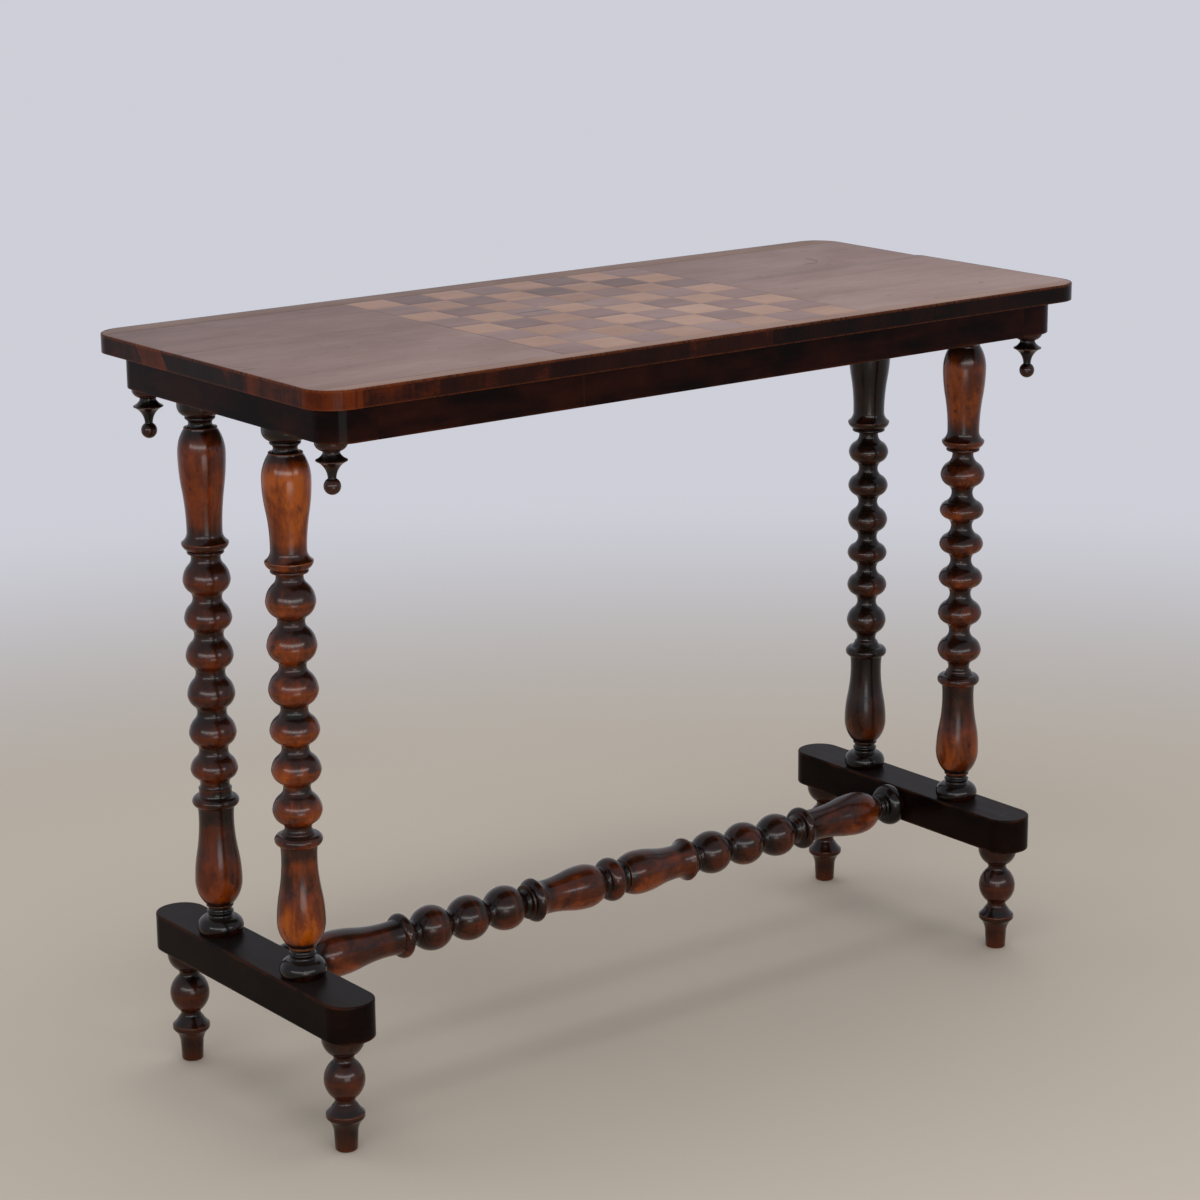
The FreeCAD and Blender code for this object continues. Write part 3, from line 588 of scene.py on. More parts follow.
class Turning:
    """The half outline of a turned piece, walked from its lower end upwards."""

    STEP_ANGLE = math.radians(5.5)
    STEP_LENGTH = 2.4
    # Rounds at corners: their size, the bend from which they are made, and how much of a side they may take
    FILLET = 0.45
    FILLET_FROM = math.radians(32)
    FILLET_SHARE = 0.45
    FILLET_STEPS = (0.0, 0.33, 0.67, 1.0)
    FILLET_RIM = 0.25
    SHORTEST = 0.05
    # How far rings lend each other their tint, and how far off and how deep a ring counts as a hollow
    BLEED = 6.0
    REACH = 15.0
    SHALLOW = 1.2
    DEEP = 8.5
    # The worn ridge round a bead; the lighter line on it is partly wear, partly a painted highlight
    RIDGE_WIDTH = 4.5
    RIDGE_RIM = 0.35
    # The curve into a row of beads and out of it
    LEAD = 5.0
    LEAD_OUT = 0.4 * LEAD
    LEAD_UP = 0.8 * LEAD

    def __init__(self, radius: float, tint: float) -> None:
        """Start on the lower end's rim."""
        self.tint = tint
        self.rows: list[Row] = [Row(radius, 0.0, tint)]

    @property
    def end(self) -> Row:
        """The ring reached so far."""
        return self.rows[-1]

    def tinted(self, tint: float) -> Turning:
        """Set how dark what follows is, from 0 for amber to 1 for black."""
        self.tint = tint
        return self

    def to(self, radius: float, height: float) -> Turning:
        """Go straight to a ring."""
        self.rows.append(Row(radius, height, self.tint))
        return self

    def taper(self, radius: float, length: float) -> Turning:
        """Go along a cone."""
        return self.to(radius, self.end.height + length)

    def step(self, radius: float) -> Turning:
        """Go straight in or out."""
        return self.to(radius, self.end.height)

    def band(self, length: float) -> Turning:
        """Go straight along the axis."""
        return self.taper(self.end.radius, length)

    def arc(self, centre: Spot, radius: float, height: float) -> Turning:
        """Go round a centre the short way.

        Args:
            centre: The arc's centre, across and up.
            radius: The ring's radius at the arc's end.
            height: The height there.

        Returns:
            This outline.
        """
        across, up = centre
        start = math.atan2(self.end.height - up, self.end.radius - across)
        turn = math.atan2(height - up, radius - across) - start
        turn = (turn + math.pi) % (2 * math.pi) - math.pi
        reach = math.hypot(radius - across, height - up)
        finest = max(abs(turn) / self.STEP_ANGLE, abs(turn) * reach / self.STEP_LENGTH)
        count = max(2, math.ceil(finest))
        for place in range(1, count):
            angle = start + turn * place / count
            self.to(across + reach * math.cos(angle), up + reach * math.sin(angle))
        return self.to(radius, height)

    def bulge(self, radius: float, length: float, depth: float) -> Turning:
        """Go along an arc that stands off its chord, out for a positive depth and in for a negative one.

        Args:
            radius: The ring's radius at the end.
            length: The chord's length along the axis.
            depth: How far the arc stands off.

        Returns:
            This outline.
        """
        low = self.end
        across = radius - low.radius
        chord = math.hypot(length, across)
        size = (chord ** 2 / 4 + depth ** 2) / (2 * depth)
        back = (size - depth) / chord
        centre = (low.radius + across / 2 - length * back, low.height + length / 2 + across * back)
        return self.arc(centre, radius, low.height + length)

    def quarter(self, radius: float, length: float, leaving: bool) -> Turning:
        """Go along an arc that runs along the axis at one end.

        Args:
            radius: The ring's radius at the end.
            length: The arc's length along the axis.
            leaving: Whether it runs along the axis at its start, not at its end.

        Returns:
            This outline.
        """
        low = self.end
        high = low.height + length
        across = radius - low.radius
        size = (across ** 2 + length ** 2) / (2 * across)
        return self.arc((low.radius + size, low.height) if leaving else (radius - size, high), radius, high)

    def leave(self, radius: float, length: float) -> Turning:
        """Start along the axis and curve away from it."""
        return self.quarter(radius, length, True)

    def arrive(self, radius: float, length: float) -> Turning:
        """Curve in until the outline runs along the axis."""
        return self.quarter(radius, length, False)

    def swell(self, radius: float, length: float, share: float) -> Turning:
        """Leave and arrive in one smooth bend that turns at a share of its length."""
        middle = self.end.radius + (radius - self.end.radius) * share
        return self.leave(middle, length * share).arrive(radius, length * (1 - share))

    @staticmethod
    def half_bead(depth: float, length: float, cove: float) -> Triple:
        """Work out half a bead and the cove beside it, which meet without a corner.

        Args:
            depth: How far the bead stands out.
            length: The length from its crest to the neck.
            cove: The radius of the cove's arc.

        Returns:
            How far out and how far along from the neck the two meet, and the radius of the bead's arc.
        """
        span = (depth ** 2 + length ** 2) / (2 * depth)
        return cove * depth / span, cove * length / span, span - cove

    def beads(self, necks: Sequence[float], radius: float, neck: float, coves: Spot, crest: float = 0.5,
              ridge: float = 0.0) -> Turning:
        """Turn a row of beads with round coves between them.

        Args:
            necks: The heights of the necks, from below the first bead to above the last.
            radius: A bead's radius.
            neck: The radius between two beads.
            coves: The radius of the cove's arc below a bead, and of that above it.
            crest: Where a bead is fullest, as a share of the way from neck to neck.
            ridge: How far the worn line round a bead's crest stands up.

        Returns:
            This outline.
        """
        below, above = coves
        lead = neck + self.LEAD
        self.arc((lead, necks[0]), neck, necks[0])
        for low, high in zip(necks, necks[1:]):
            middle = low + (high - low) * crest
            out, along, size = self.half_bead(radius - neck, middle - low, below)
            self.arc((neck + below, low), neck + out, low + along)
            since = len(self.rows)
            self.arc((radius - size, middle), radius, middle)
            out, along, size = self.half_bead(radius - neck, high - middle, above)
            self.arc((radius - size, middle), neck + out, high - along)
            for row in self.rows[since:]:
                near = max(0.0, 1 - abs(row.height - middle) / self.RIDGE_WIDTH)
                row.radius += ridge * near * near * (3 - 2 * near)
                row.rim = self.RIDGE_RIM * near ** 3
            self.arc((neck + above, high), neck, high)
        return self.arc((lead, necks[-1]), neck + self.LEAD_OUT, necks[-1] + self.LEAD_UP)

    def blend(self, since: int, low: float, high: float) -> Turning:
        """Let the tint run from one value to another.

        Args:
            since: The first of the rings that it runs over.
            low: The tint at that ring.
            high: The tint at the last ring.

        Returns:
            This outline.
        """
        start, rise = self.rows[since].height, self.end.height - self.rows[since].height
        for row in self.rows[since:]:
            row.tint = low + (high - low) * (row.height - start) / rise
        return self

    def mirrored(self) -> Turning:
        """Add the same outline the other way round, beyond the end reached.

        Returns:
            This outline.
        """
        top = 2 * self.end.height
        self.rows += [Row(row.radius, top - row.height, row.tint, row.rim) for row in self.rows[-2::-1]]
        return self

    def softened(self) -> list[Row]:
        """Break the sharp corners as sanding and wear do.

        Returns:
            The rings, with small rounds at the corners.
        """
        soft = [self.rows[0]]
        for before, row, after in zip(self.rows, self.rows[1:], self.rows[2:]):
            into = Vector((row.radius - before.radius, row.height - before.height))
            out = Vector((after.radius - row.radius, after.height - row.height))
            if min(into.length, out.length) < self.SHORTEST or into.angle(out) < self.FILLET_FROM:
                soft.append(row)
                continue
            cut = min(self.FILLET, into.length * self.FILLET_SHARE, out.length * self.FILLET_SHARE)
            outer = into.x * out.y - into.y * out.x > 0
            corner = Vector((row.radius, row.height))
            first, last = corner - into.normalized() * cut, corner + out.normalized() * cut
            for share in self.FILLET_STEPS:
                bent = first.lerp(corner, share).lerp(corner.lerp(last, share), share)
                # Outer fillets get the rim mark that the polish lightens: partly wear, partly a painted
                # glint
                rim = 1.0 if outer and 0 < share < 1 else self.FILLET_RIM * outer
                soft.append(Row(bent.x, bent.y, row.tint, rim))
        return soft + [self.rows[-1]]

    def shades(self, rows: list[Row]) -> list[Spot]:
        """Say how dark each ring is and how deep it lies below the fullest ring near it.

        Args:
            rows: The rings.

        Returns:
            For each its tint, run into its neighbours', and a share: 0 on a crest and 1 in a deep neck.
        """
        shades = []
        for row in rows:
            near = [(other, abs(other.height - row.height)) for other in rows]
            lent = [(other.tint, 1 - off / self.BLEED) for other, off in near if off < self.BLEED]
            tint = sum(tint * weight for tint, weight in lent) / sum(weight for _, weight in lent)
            fullest = max(other.radius for other, off in near if off < self.REACH)
            depth = (fullest - row.radius - self.SHALLOW) / self.DEEP
            shades.append((tint, min(1.0, max(0.0, depth))))
        return shades


class Shell:
    """Points, faces and marks that become one piece of the table."""

    CREASE = math.radians(38)

    def __init__(self, way: str) -> None:
        """Start with nothing.

        Args:
            way: How the piece is made, for its name.
        """
        self.way = way
        self.points: list[Sequence[float]] = []
        self.faces: list[tuple[int, ...]] = []
        self.marks: dict[str, list[float]] = {}

    def add(self, x: float, y: float, z: float, **marks: float) -> int:
        """Add a point.

        Args:
            x: Its place along the table.
            y: Its place across it.
            z: Its height.
            marks: Numbers that it carries for its material.

        Returns:
            Its index.
        """
        self.points.append((x * MM, y * MM, z * MM))
        for name, value in marks.items():
            self.marks.setdefault(name, []).append(value)
        return len(self.points) - 1

    def skin(self, rows: Sequence[Sequence[int]], closed: bool = False) -> None:
        """Join rows of points by quads.

        Args:
            rows: Rows of indices, each of the same length.
            closed: Whether each row runs back into itself.
        """
        for low, high in zip(rows, rows[1:]):
            count = len(low)
            for place in range(count if closed else count - 1):
                following = (place + 1) % count
                self.faces.append((low[place], low[following], high[following], high[place]))

    def tube(self, rings: Sequence[Sequence[int]]) -> None:
        """Join rings of points by quads and close both ends."""
        self.skin(rings, closed=True)
        self.faces += [tuple(reversed(rings[0])), tuple(rings[-1])]

    def piece(self, node: str, slot: str, finish: Finish, place: Triple = (0, 0, 0)) -> bpy.types.Object:
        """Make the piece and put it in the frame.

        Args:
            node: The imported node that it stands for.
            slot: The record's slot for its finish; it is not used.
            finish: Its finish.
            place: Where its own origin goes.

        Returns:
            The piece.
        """
        name = f"{self.way}_{node}"
        mesh = bpy.data.meshes.new(name)
        mesh.from_pydata(self.points, [], self.faces)
        for mark, values in self.marks.items():
            mesh.attributes.new(mark, "FLOAT", "POINT").data.foreach_set("value", values)
        mesh.validate()
        mesh.shade_smooth()
        mesh.set_sharp_from_angle(angle=self.CREASE)
        mesh.materials.append(finish.material(node))
        made = bpy.data.objects.new(name, mesh)
        bpy.context.scene.collection.objects.link(made)
        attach(made, BODY)
        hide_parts(node)
        made.location = Vector(place) * MM
        LOG.info("%s: %d faces", made.name, len(mesh.polygons))
        return made


class Turned(Shell):
    """A piece turned round its own Z axis, with the small differences of hand work."""

    WAVES = 4
    PACES = (0.03, 0.12)
    PHASES = (0, 6.28)
    LOBES = (1, 2, 2, 3)
    WIDTHS = (0.01, 0.09)
    # How far the surface stays inside its outline, and the radius from which the waves are full
    INSIDE = 0.1
    FULL = 12

    def __init__(self, turning: Turning, size: float, segments: int, seed: int) -> None:
        """Turn an outline.

        Args:
            turning: The outline.
            size: The length that the piece has.
            segments: Faces round the axis.
            seed: Which of the small differences it has.
        """
        super().__init__("turned")
        chance = random.Random(seed)
        waves = [(chance.uniform(*self.PACES), chance.uniform(*self.PHASES), chance.choice(self.LOBES),
                  chance.uniform(*self.WIDTHS)) for _ in range(self.WAVES)]
        rows = turning.softened()
        rings = []
        for row, (tint, hollow) in zip(rows, turning.shades(rows)):
            ring = []
            height = row.height * (size / turning.end.height)
            for place in range(segments):
                angle = 2 * math.pi * place / segments
                off = sum(wide * math.sin(count * angle + phase + height * pace)
                          for pace, phase, count, wide in waves)
                radius = row.radius - self.INSIDE + off * min(1.0, row.radius / self.FULL)
                ring.append(self.add(radius * math.cos(angle), radius * math.sin(angle), height,
                                     tint=tint, hollow=hollow, rim=row.rim))
            rings.append(ring)
        self.tube(rings)


def round_corners(half: Spot, radius: float, centre: Spot = (0.0, 0.0), steps: int = 14) -> list[Spot]:
    """Give a rectangle with round corners, against the clock from its front right corner.

    Args:
        half: Half its length and half its depth.
        radius: Its corners' radius.
        centre: Its middle.
        steps: Faces in each corner.

    Returns:
        The points of the outline.
    """
    points = []
    for turn, (right, rear) in zip((-90, 0, 90, 180), ((1, -1), (1, 1), (-1, 1), (-1, -1))):
        for place in range(steps + 1):
            angle = math.radians(turn + 90 * place / steps)
            points.append((centre[0] + right * (half[0] - radius) + radius * math.cos(angle),
                           centre[1] + rear * (half[1] - radius) + radius * math.sin(angle)))
    return points


class Block(Shell):
    """A straight piece cut to an outline, with its arrises eased."""

    SPLIT = 10.0
    WORN = 1.6
    BORE_STEPS = 24
    # The sharpest corner that an inset follows in full
    SHARPEST = 0.5

    def __init__(self, outline: Sequence[Spot], low: float, high: float, ease: float,
                 bores: Sequence[Four] = ()) -> None:
        """Build the block.

        Args:
            outline: Its outline from above, against the clock.
            low: The height of its underside.
            high: The height of its upper face.
            ease: The radius of its arrises.
            bores: Holes in its underside: place, radius and depth.
        """
        super().__init__("cut")
        self.outline = [Vector(point) for point in outline]
        worn = ease + self.WORN
        levels = [(ease * (1 - math.sin(turn)), low + ease * (1 - math.cos(turn)), 1.0) for turn in BEND]
        levels = [(worn, low, 0.0), *levels, (0.0, low + worn, 0.0)]
        tops = [(inset, low + high - level, rim) for inset, level, rim in reversed(levels)]
        count = max(1, round((high - low) / self.SPLIT))
        plain = high - low - 2 * worn
        middles = [(0.0, low + worn + plain * step / count, 0.0) for step in range(1, count)]
        rows = [self.ring(*level) for level in levels + middles + tops]
        self.skin(rows, closed=True)
        self.lid(rows[-1])
        self.lid(rows[0], bores, low)

    def ring(self, inset: float, level: float, rim: float) -> list[int]:
        """Add the outline at a height, moved inwards.

        Args:
            inset: How far inwards.
            level: The height.
            rim: How much of an arris this is.

        Returns:
            The points' indices.
        """
        found = []
        around = self.outline
        for before, point, after in zip(around[-1:] + around[:-1], around, around[1:] + around[:1]):
            into, out = (point - before).normalized(), (after - point).normalized()
            inner = Vector((-into.y - out.y, into.x + out.x)).normalized()
            moved = point + inner * (inset / max(self.SHARPEST, inner.dot(Vector((-into.y, into.x)))))
            found.append(self.add(moved.x, moved.y, level, rim=rim))
        return found

    def lid(self, row: list[int], bores: Sequence[Four] = (), low: float = 0.0) -> None:
        """Close an end, leaving holes.

        Args:
            row: The end's outline.
            bores: The holes: place, radius and depth.
            low: The height of the face that the holes are in.
        """
        plane = bmesh.new()
        back = list(row)
        loops = [[plane.verts.new(self.points[index]) for index in row]]
        turns = [2 * math.pi * step / self.BORE_STEPS for step in range(self.BORE_STEPS)]
        for x, y, radius, depth in bores:
            mouth, end = ([self.add(x + radius * math.cos(turn), y + radius * math.sin(turn), level, rim=0.0)
                           for turn in turns] for level in (low, low + depth))
            self.skin([end, mouth], closed=True)
            self.faces.append(tuple(reversed(end)))
            loops.append([plane.verts.new(self.points[index]) for index in mouth])
            back += mouth
        edges = [plane.edges.new(pair) for loop in loops for pair in zip(loop, loop[1:] + loop[:1])]
        plane.verts.index_update()
        bmesh.ops.triangle_fill(plane, use_beauty=True, edges=edges, normal=(0, 0, 1))
        upward = not bores and self.points[row[0]][2] > self.points[0][2]
        for face in plane.faces:
            face.normal_update()
            order = [back[vert.index] for vert in face.verts]
            self.faces.append(tuple(order if (face.normal.z > 0) == upward else reversed(order)))
        plane.free()


class Side(Enum):
    """The table's two ends."""

    LEFT = -1
    RIGHT = 1


class Reach(Enum):
    """The table's two long sides."""

    FRONT = -1
    REAR = 1


def named(stem: str, *where: Side | Reach) -> str:
    """Name a node for its place at the table."""
    return "_".join([stem, *(place.name.lower() for place in where)])


def dress(node: str, finish: Finish) -> None:
    """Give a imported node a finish.

    Args:
        node: The node's name.
        finish: The finish for all its slots.
    """
    material = finish.material(node)
    for slot in frame["nodes"][node].material_slots:
        slot.material = material
    LOG.info("%s: kept as packed", node)


@dataclass
class Top:
    """The slab: two core boards, the veneers on them, the chessboard and the edge veneers."""

    length: float = 918.0
    depth: float = 404.0
    height: float = 724.0
    thickness: float = 18.0
    corner: float = 32.0
    leaf: float = 1.5
    front_strip: float = 17.0
    rear_strip: float = 28.6
    board_shift: float = -10.0
    squares: int = 8
    rear_rows: int = 3
    hairline: float = 0.02
    cell: float = 9.0
    # Sag and warp of the surface
    sag: float = 0.1
    ripple: float = 0.06
    rear_drop: float = 0.15
    joint_drop: float = 0.95
    joint_power: float = 1.5
    front_sag: float = 0.35
    # How far a leaf's border is worn down, and a painted sheen: how the tone grows paler towards the front
    # right
    border_drop: float = 0.16
    fade: Spot = (0.6, -0.9)
    # Dirt along the leaves' borders: at the edge, between leaves, in the crack and along the joint
    edge_dirt: float = 0.3
    dirt: float = 0.5
    field_dirt: float = 0.55
    crack_dirt: float = 0.9
    joint_dirt: float = 0.95
    # Tones of single squares
    tones: Spot = (0.28, 0.72)
    # The edge veneers' arrises, the lines down their faces and the steps along them
    edge_round: float = 1.3
    foot_round: float = 0.6
    face_lines: Four = (0.16, 0.35, 0.6, 0.9)
    corner_steps: int = 24
    long_steps: int = 90
    short_steps: int = 36

    @property
    def square(self) -> float:
        """One square's side."""
        return (self.depth - self.front_strip - self.rear_strip) / self.squares

    @property
    def board_front(self) -> float:
        """The chessboard's front line."""
        return -self.depth / 2 + self.front_strip

    @property
    def board_rear(self) -> float:
        """The chessboard's rear line."""
        return self.depth / 2 - self.rear_strip

    @property
    def joint(self) -> float:
        """The line where the two boards meet."""
        return self.board_front + (self.squares - self.rear_rows) * self.square

    def surface(self, x: float, y: float) -> float:
        """Give the height of the worn, slightly warped surface.

        Args:
            x: Along the table.
            y: Across it.

        Returns:
            The height.
        """
        right = x / self.length + 0.5
        sag = self.sag + self.ripple * math.sin(x * 0.011 + 0.7) * math.sin(y * 0.017 + 0.4)
        if y > self.joint:
            back = (self.depth / 2 - y) / (self.depth / 2 - self.joint)
            sag += (self.rear_drop + self.joint_drop * right ** self.joint_power) * back
        else:
            sag += self.front_sag * ((self.joint - y) / (self.joint + self.depth / 2)) ** 2
        return self.height - sag

    def half_length(self, y: float) -> float:
        """Give how far the veneer reaches along the table, inside the edge veneer.

        Args:
            y: The place across the table.

        Returns:
            Half its length there.
        """
        radius = self.corner - self.leaf
        past = max(0.0, abs(y) - (self.depth / 2 - self.corner))
        return self.length / 2 - self.corner + math.sqrt(max(0.0, radius ** 2 - past ** 2))

    @staticmethod
    def spread(low: float, high: float, count: int, ease: float) -> list[Spot]:
        """Divide a width, with close lines at its two borders.

        Args:
            low: One border.
            high: The other.
            count: How many divisions.
            ease: How wide the eased border is.

        Returns:
            Places, each with its share of the border: 1 on it and 0 inside.
        """
        inner = [low + ease + (high - low - 2 * ease) * step / count for step in range(count + 1)]
        edge = ((0.0, 1.0), (0.35, 0.45))
        return ([(low + ease * share, mark) for share, mark in edge] + [(place, 0.0) for place in inner]
                + [(high - ease * share, mark) for share, mark in reversed(edge)])

    def sheet(self, shell: Shell, spans: Callable[[float], Spot], low: float, high: float,
              lines: Four = (0.5, 0.5, 0.5, 0.5), ease: float = 0.5, tone: float = 0.5) -> None:
        """Lay one leaf of veneer, closed all round.

        Args:
            shell: The piece that it goes into.
            spans: Gives the leaf's two ends at a place across the table.
            low: Its front line.
            high: Its rear line.
            lines: How dark the dirt is at its left, right, front and rear borders.
            ease: How wide its eased border is.
            tone: Its tone.
        """
        rows = []
        left, right = spans((low + high) / 2)
        across = max(2, round((right - left) / self.cell))
        for y, at_y in self.spread(low, high, max(2, round((high - low) / self.cell)), ease):
            row = []
            left, right = spans(y)
            for x, at_x in self.spread(left, right, across, ease):
                level = self.surface(x, y) - self.border_drop * max(at_x, at_y)
                dirt = max(at_x * lines[0 if 2 * x < left + right else 1],
                           at_y * lines[2 if 2 * y < low + high else 3])
                # A painted sheen: leaves grow paler towards the front right
                fade = 0.5 + self.fade[0] * x / self.length + self.fade[1] * y / self.depth
                row.append(shell.add(x, y, level, tone=tone, border=dirt, fade=fade))
            rows.append(row)
        shell.skin(rows)
        around = (rows[0] + [row[-1] for row in rows[1:-1]] + rows[-1][::-1]
                  + [row[0] for row in reversed(rows[1:-1])])
        rim = [shell.points[index] for index in around]
        under = [shell.add(x / MM, y / MM, self.height - self.leaf, tone=tone, border=1.0, fade=0.5)
                 for x, y, _ in rim]
        shell.skin([under, around], closed=True)
        shell.faces.append(tuple(reversed(under)))

    def cores(self) -> None:
        """Give the two core boards, which only show from below, their bare wood."""
        for reach in Reach:
            finish = BareWood((136, 96, 62), (74, 46, 28), (5, 70, 40), 2.0 + reach.value)
            dress(named("top_board", reach), finish)

    def fields(self) -> None:
        """Lay the plain veneers left and right of the chessboard."""
        half = self.squares * self.square / 2
        chips = (DarkStroke((-454, -50), (-441, -56), 1.8, 0.6), DarkStroke((-454, -64.5), (-441, -66), 2.4, 0.8),
                 DarkStroke((-412, -114), (-408, -113), 2.0, 0.6), DarkStroke((-260, -88), (-256, -87), 2.0, 0.5))
        hooks = (DarkStroke((352, 105), (350, 84), 2.4, 0.8), DarkStroke((323, 74), (342, 75), 2.2, 0.75),
                 DarkStroke((350, 85), (342, 76), 1.4, 0.45))
        # The wide, faint stroke along the joint is painted shade in front of the step where the rear board
        # stands higher; the others are spots
        spots_and_shade = (DarkStroke((209, -42), (214, -41), 2.6, 0.7), DarkStroke((376, -135), (381, -134), 2.2, 0.7),
                 DarkStroke((190, 33), (456, 34), 13.0, 0.2))
        marks = {(Side.LEFT, Reach.FRONT): chips, (Side.RIGHT, Reach.FRONT): spots_and_shade,
                 (Side.RIGHT, Reach.REAR): hooks}
        for side, reach in product(Side, Reach):
            front = reach is Reach.FRONT
            low, high = (self.board_front, self.joint) if front else (self.joint, self.board_rear)
            seed = 3.1 + side.value * 1.7 + reach.value * 0.6
            finish = VeneerPolish((155, 127, 117), (128, 101, 92), (97, 74, 67), seed,
                                  marks.get((side, reach), ()))

            def spans(y: float, way: int = side.value) -> Spot:
                """Give the field's two ends."""
                inner, outer = self.board_shift + way * half, way * self.half_length(y)
                return min(inner, outer), max(inner, outer)

            crack = self.joint_dirt if front and side is Side.LEFT else self.field_dirt
            ends = (self.edge_dirt, crack) if side is Side.LEFT else (crack, self.edge_dirt)
            borders = (self.dirt, self.crack_dirt) if front else (self.joint_dirt, self.dirt)
            shell = Shell("laid")
            self.sheet(shell, spans, low, high, (*ends, *borders), ease=1.5)
            shell.piece(named("field_veneer", side, reach), "field_veneer", finish)

    def strips(self) -> None:
        """Lay the pale strips along the long edges."""
        inner = self.depth / 2 - self.leaf
        for reach in Reach:
            low, high = (-inner, self.board_front) if reach is Reach.FRONT else (self.board_rear, inner)
            finish = VeneerPolish((150, 117, 98), (128, 97, 81), (96, 70, 58), 8.4 + reach.value, figure=0.5)
            shell = Shell("laid")
            self.sheet(shell, lambda y: (-self.half_length(y), self.half_length(y)), low, high)
            shell.piece(named("strip_veneer", reach), "strip_veneer", finish)

    def board(self) -> None:
        """Lay the light and the dark squares."""
        chance = random.Random(64)
        left = self.board_shift - self.squares * self.square / 2
        marks = (DarkStroke((-95, 18.7), (-54, 18), 2.6, 0.75), DarkStroke((-50, 35), (10, 35), 2.4, 0.7),
                 DarkStroke((-64, 122), (-59, 123), 3.0, 0.7), DarkStroke((69, 167), (82, 169), 2.4, 0.75),
                 DarkStroke((-187, -163), (-173, -164.4), 1.8, 0.5))
        finishes = {"dark": VeneerPolish((149, 121, 113), (125, 98, 92), (99, 76, 71), 5.2, marks),
                    "light": VeneerPolish((177, 141, 121), (157, 121, 101), (131, 98, 81), 6.7, marks)}
        shells = {kind: Shell("laid") for kind in finishes}
        for line, column in product(range(self.squares), repeat=2):
            kind = "light" if (line + column) % 2 else "dark"
            x, y = left + column * self.square, self.board_front + line * self.square
            low, high = self.hairline, self.square - self.hairline
            crack = self.crack_dirt if column == 0 and y < self.joint - 1 else self.dirt
            borders = (self.joint_dirt if abs(border - self.joint) < 1 else self.dirt
                       for border in (y, y + self.square))
            self.sheet(shells[kind], lambda _, x=x: (x + low, x + high), y + low, y + high,
                       (crack, self.dirt, *borders), ease=0.45, tone=chance.uniform(*self.tones))
        for kind, shell in shells.items():
            shell.piece(f"{kind}_squares", f"{kind}_square", finishes[kind])

    def edges(self) -> None:
        """Bend the cross-grain veneers round the slab's edge."""
        # The front runs lighter at its left corner and darker towards the right
        front = (Patch(-20, 60, -0.32), Patch(60, 140, -0.1), Patch(260, 420, 0.16), Patch(520, 960, 0.3))
        left = (Patch(70, 115, -0.28, 0.75), Patch(115, 222, 0.25, 0.75), Patch(222, 252, 0.0),
                Patch(252, 345, -0.2))
        finishes = {Reach.FRONT: EdgePolish((94, 37, 8), (38, 13, 6), (14, 6, 4), 1.3, front),
                    Reach.REAR: EdgePolish((84, 36, 12), (40, 17, 8), (15, 7, 5), 2.9),
                    Side.LEFT: EdgePolish((92, 38, 10), (35, 13, 6), (13, 6, 4), 4.4, left),
                    Side.RIGHT: EdgePolish((84, 36, 12), (40, 17, 8), (15, 7, 5), 6.1)}
        for place, finish in finishes.items():
            walk = self.long_edge if isinstance(place, Reach) else self.short_edge
            self.bent_leaf(walk(place.value)).piece(named("edge_veneer", place), "edge_veneer", finish)

    def long_edge(self, way: int) -> Path:
        """Walk a long edge and its two corners.

        Args:
            way: -1 for the front and 1 for the rear.

        Returns:
            Points on the outer face, each with the way out of the slab.
        """
        inner_x, inner_y = self.length / 2 - self.corner, self.depth / 2 - self.corner
        corners = []
        for side in (way, -way):
            turns = [math.radians(90 * place / self.corner_steps) for place in range(self.corner_steps + 1)]
            outs = [Vector((side * math.cos(turn), way * math.sin(turn))) for turn in turns[::way * side]]
            centre = Vector((side * inner_x, way * inner_y))
            corners.append([(centre + out * self.corner, out) for out in outs])
        straight = [(Vector((way * inner_x * (1 - 2 * place / self.long_steps), way * self.depth / 2)),
                     Vector((0, way))) for place in range(1, self.long_steps)]
        return corners[0] + straight + corners[1]

    def short_edge(self, way: int) -> Path:
        """Walk the straight part of an end, -1 for the left one and 1 for the right one."""
        inner, count = self.depth / 2 - self.corner, self.short_steps
        return [(Vector((way * self.length / 2, way * inner * (2 * place / count - 1))), Vector((way, 0)))
                for place in range(count + 1)]

    def bent_leaf(self, path: Path) -> Shell:
        """Sweep the edge veneer's section along a path.

        Args:
            path: Points on the outer face, each with the way out.

        Returns:
            The leaf.
        """
        shell = Shell("bent")
        low = self.height - self.thickness
        upper, foot = self.edge_round, self.foot_round
        columns = []
        run = 0.0
        before = path[0][0]
        for point, out in path:
            run += (point - before).length
            before = point
            lift = self.surface(point.x, point.y)
            section = [(self.leaf, lift, 0.6)]
            section += [(upper * (1 - math.sin(turn)), lift - upper * (1 - math.cos(turn)), 1.0)
                        for turn in BEND]
            section += [(0.0, lift + (low - lift) * share, 0.0) for share in self.face_lines]
            section += [(foot * (1 - math.cos(turn)), low + foot * (1 - math.sin(turn)), 0.7)
                        for turn in BEND]
            section += [(self.leaf, low, 0.0)]
            wave = 0.05 * math.sin(run * 0.05) + 0.04 * math.sin(run * 0.021 + 1.0) + 0.09
            column = []
            for inset, level, rim in section:
                inner = point - out * max(inset, wave)
                column.append(shell.add(inner.x, inner.y, level, run=run, height=level - low, rim=rim))
            columns.append(column)
        shell.tube(columns)
        return shell

    def build(self) -> None:
        """Build the whole slab."""
        for step in (self.cores, self.fields, self.strips, self.board, self.edges):
            step()


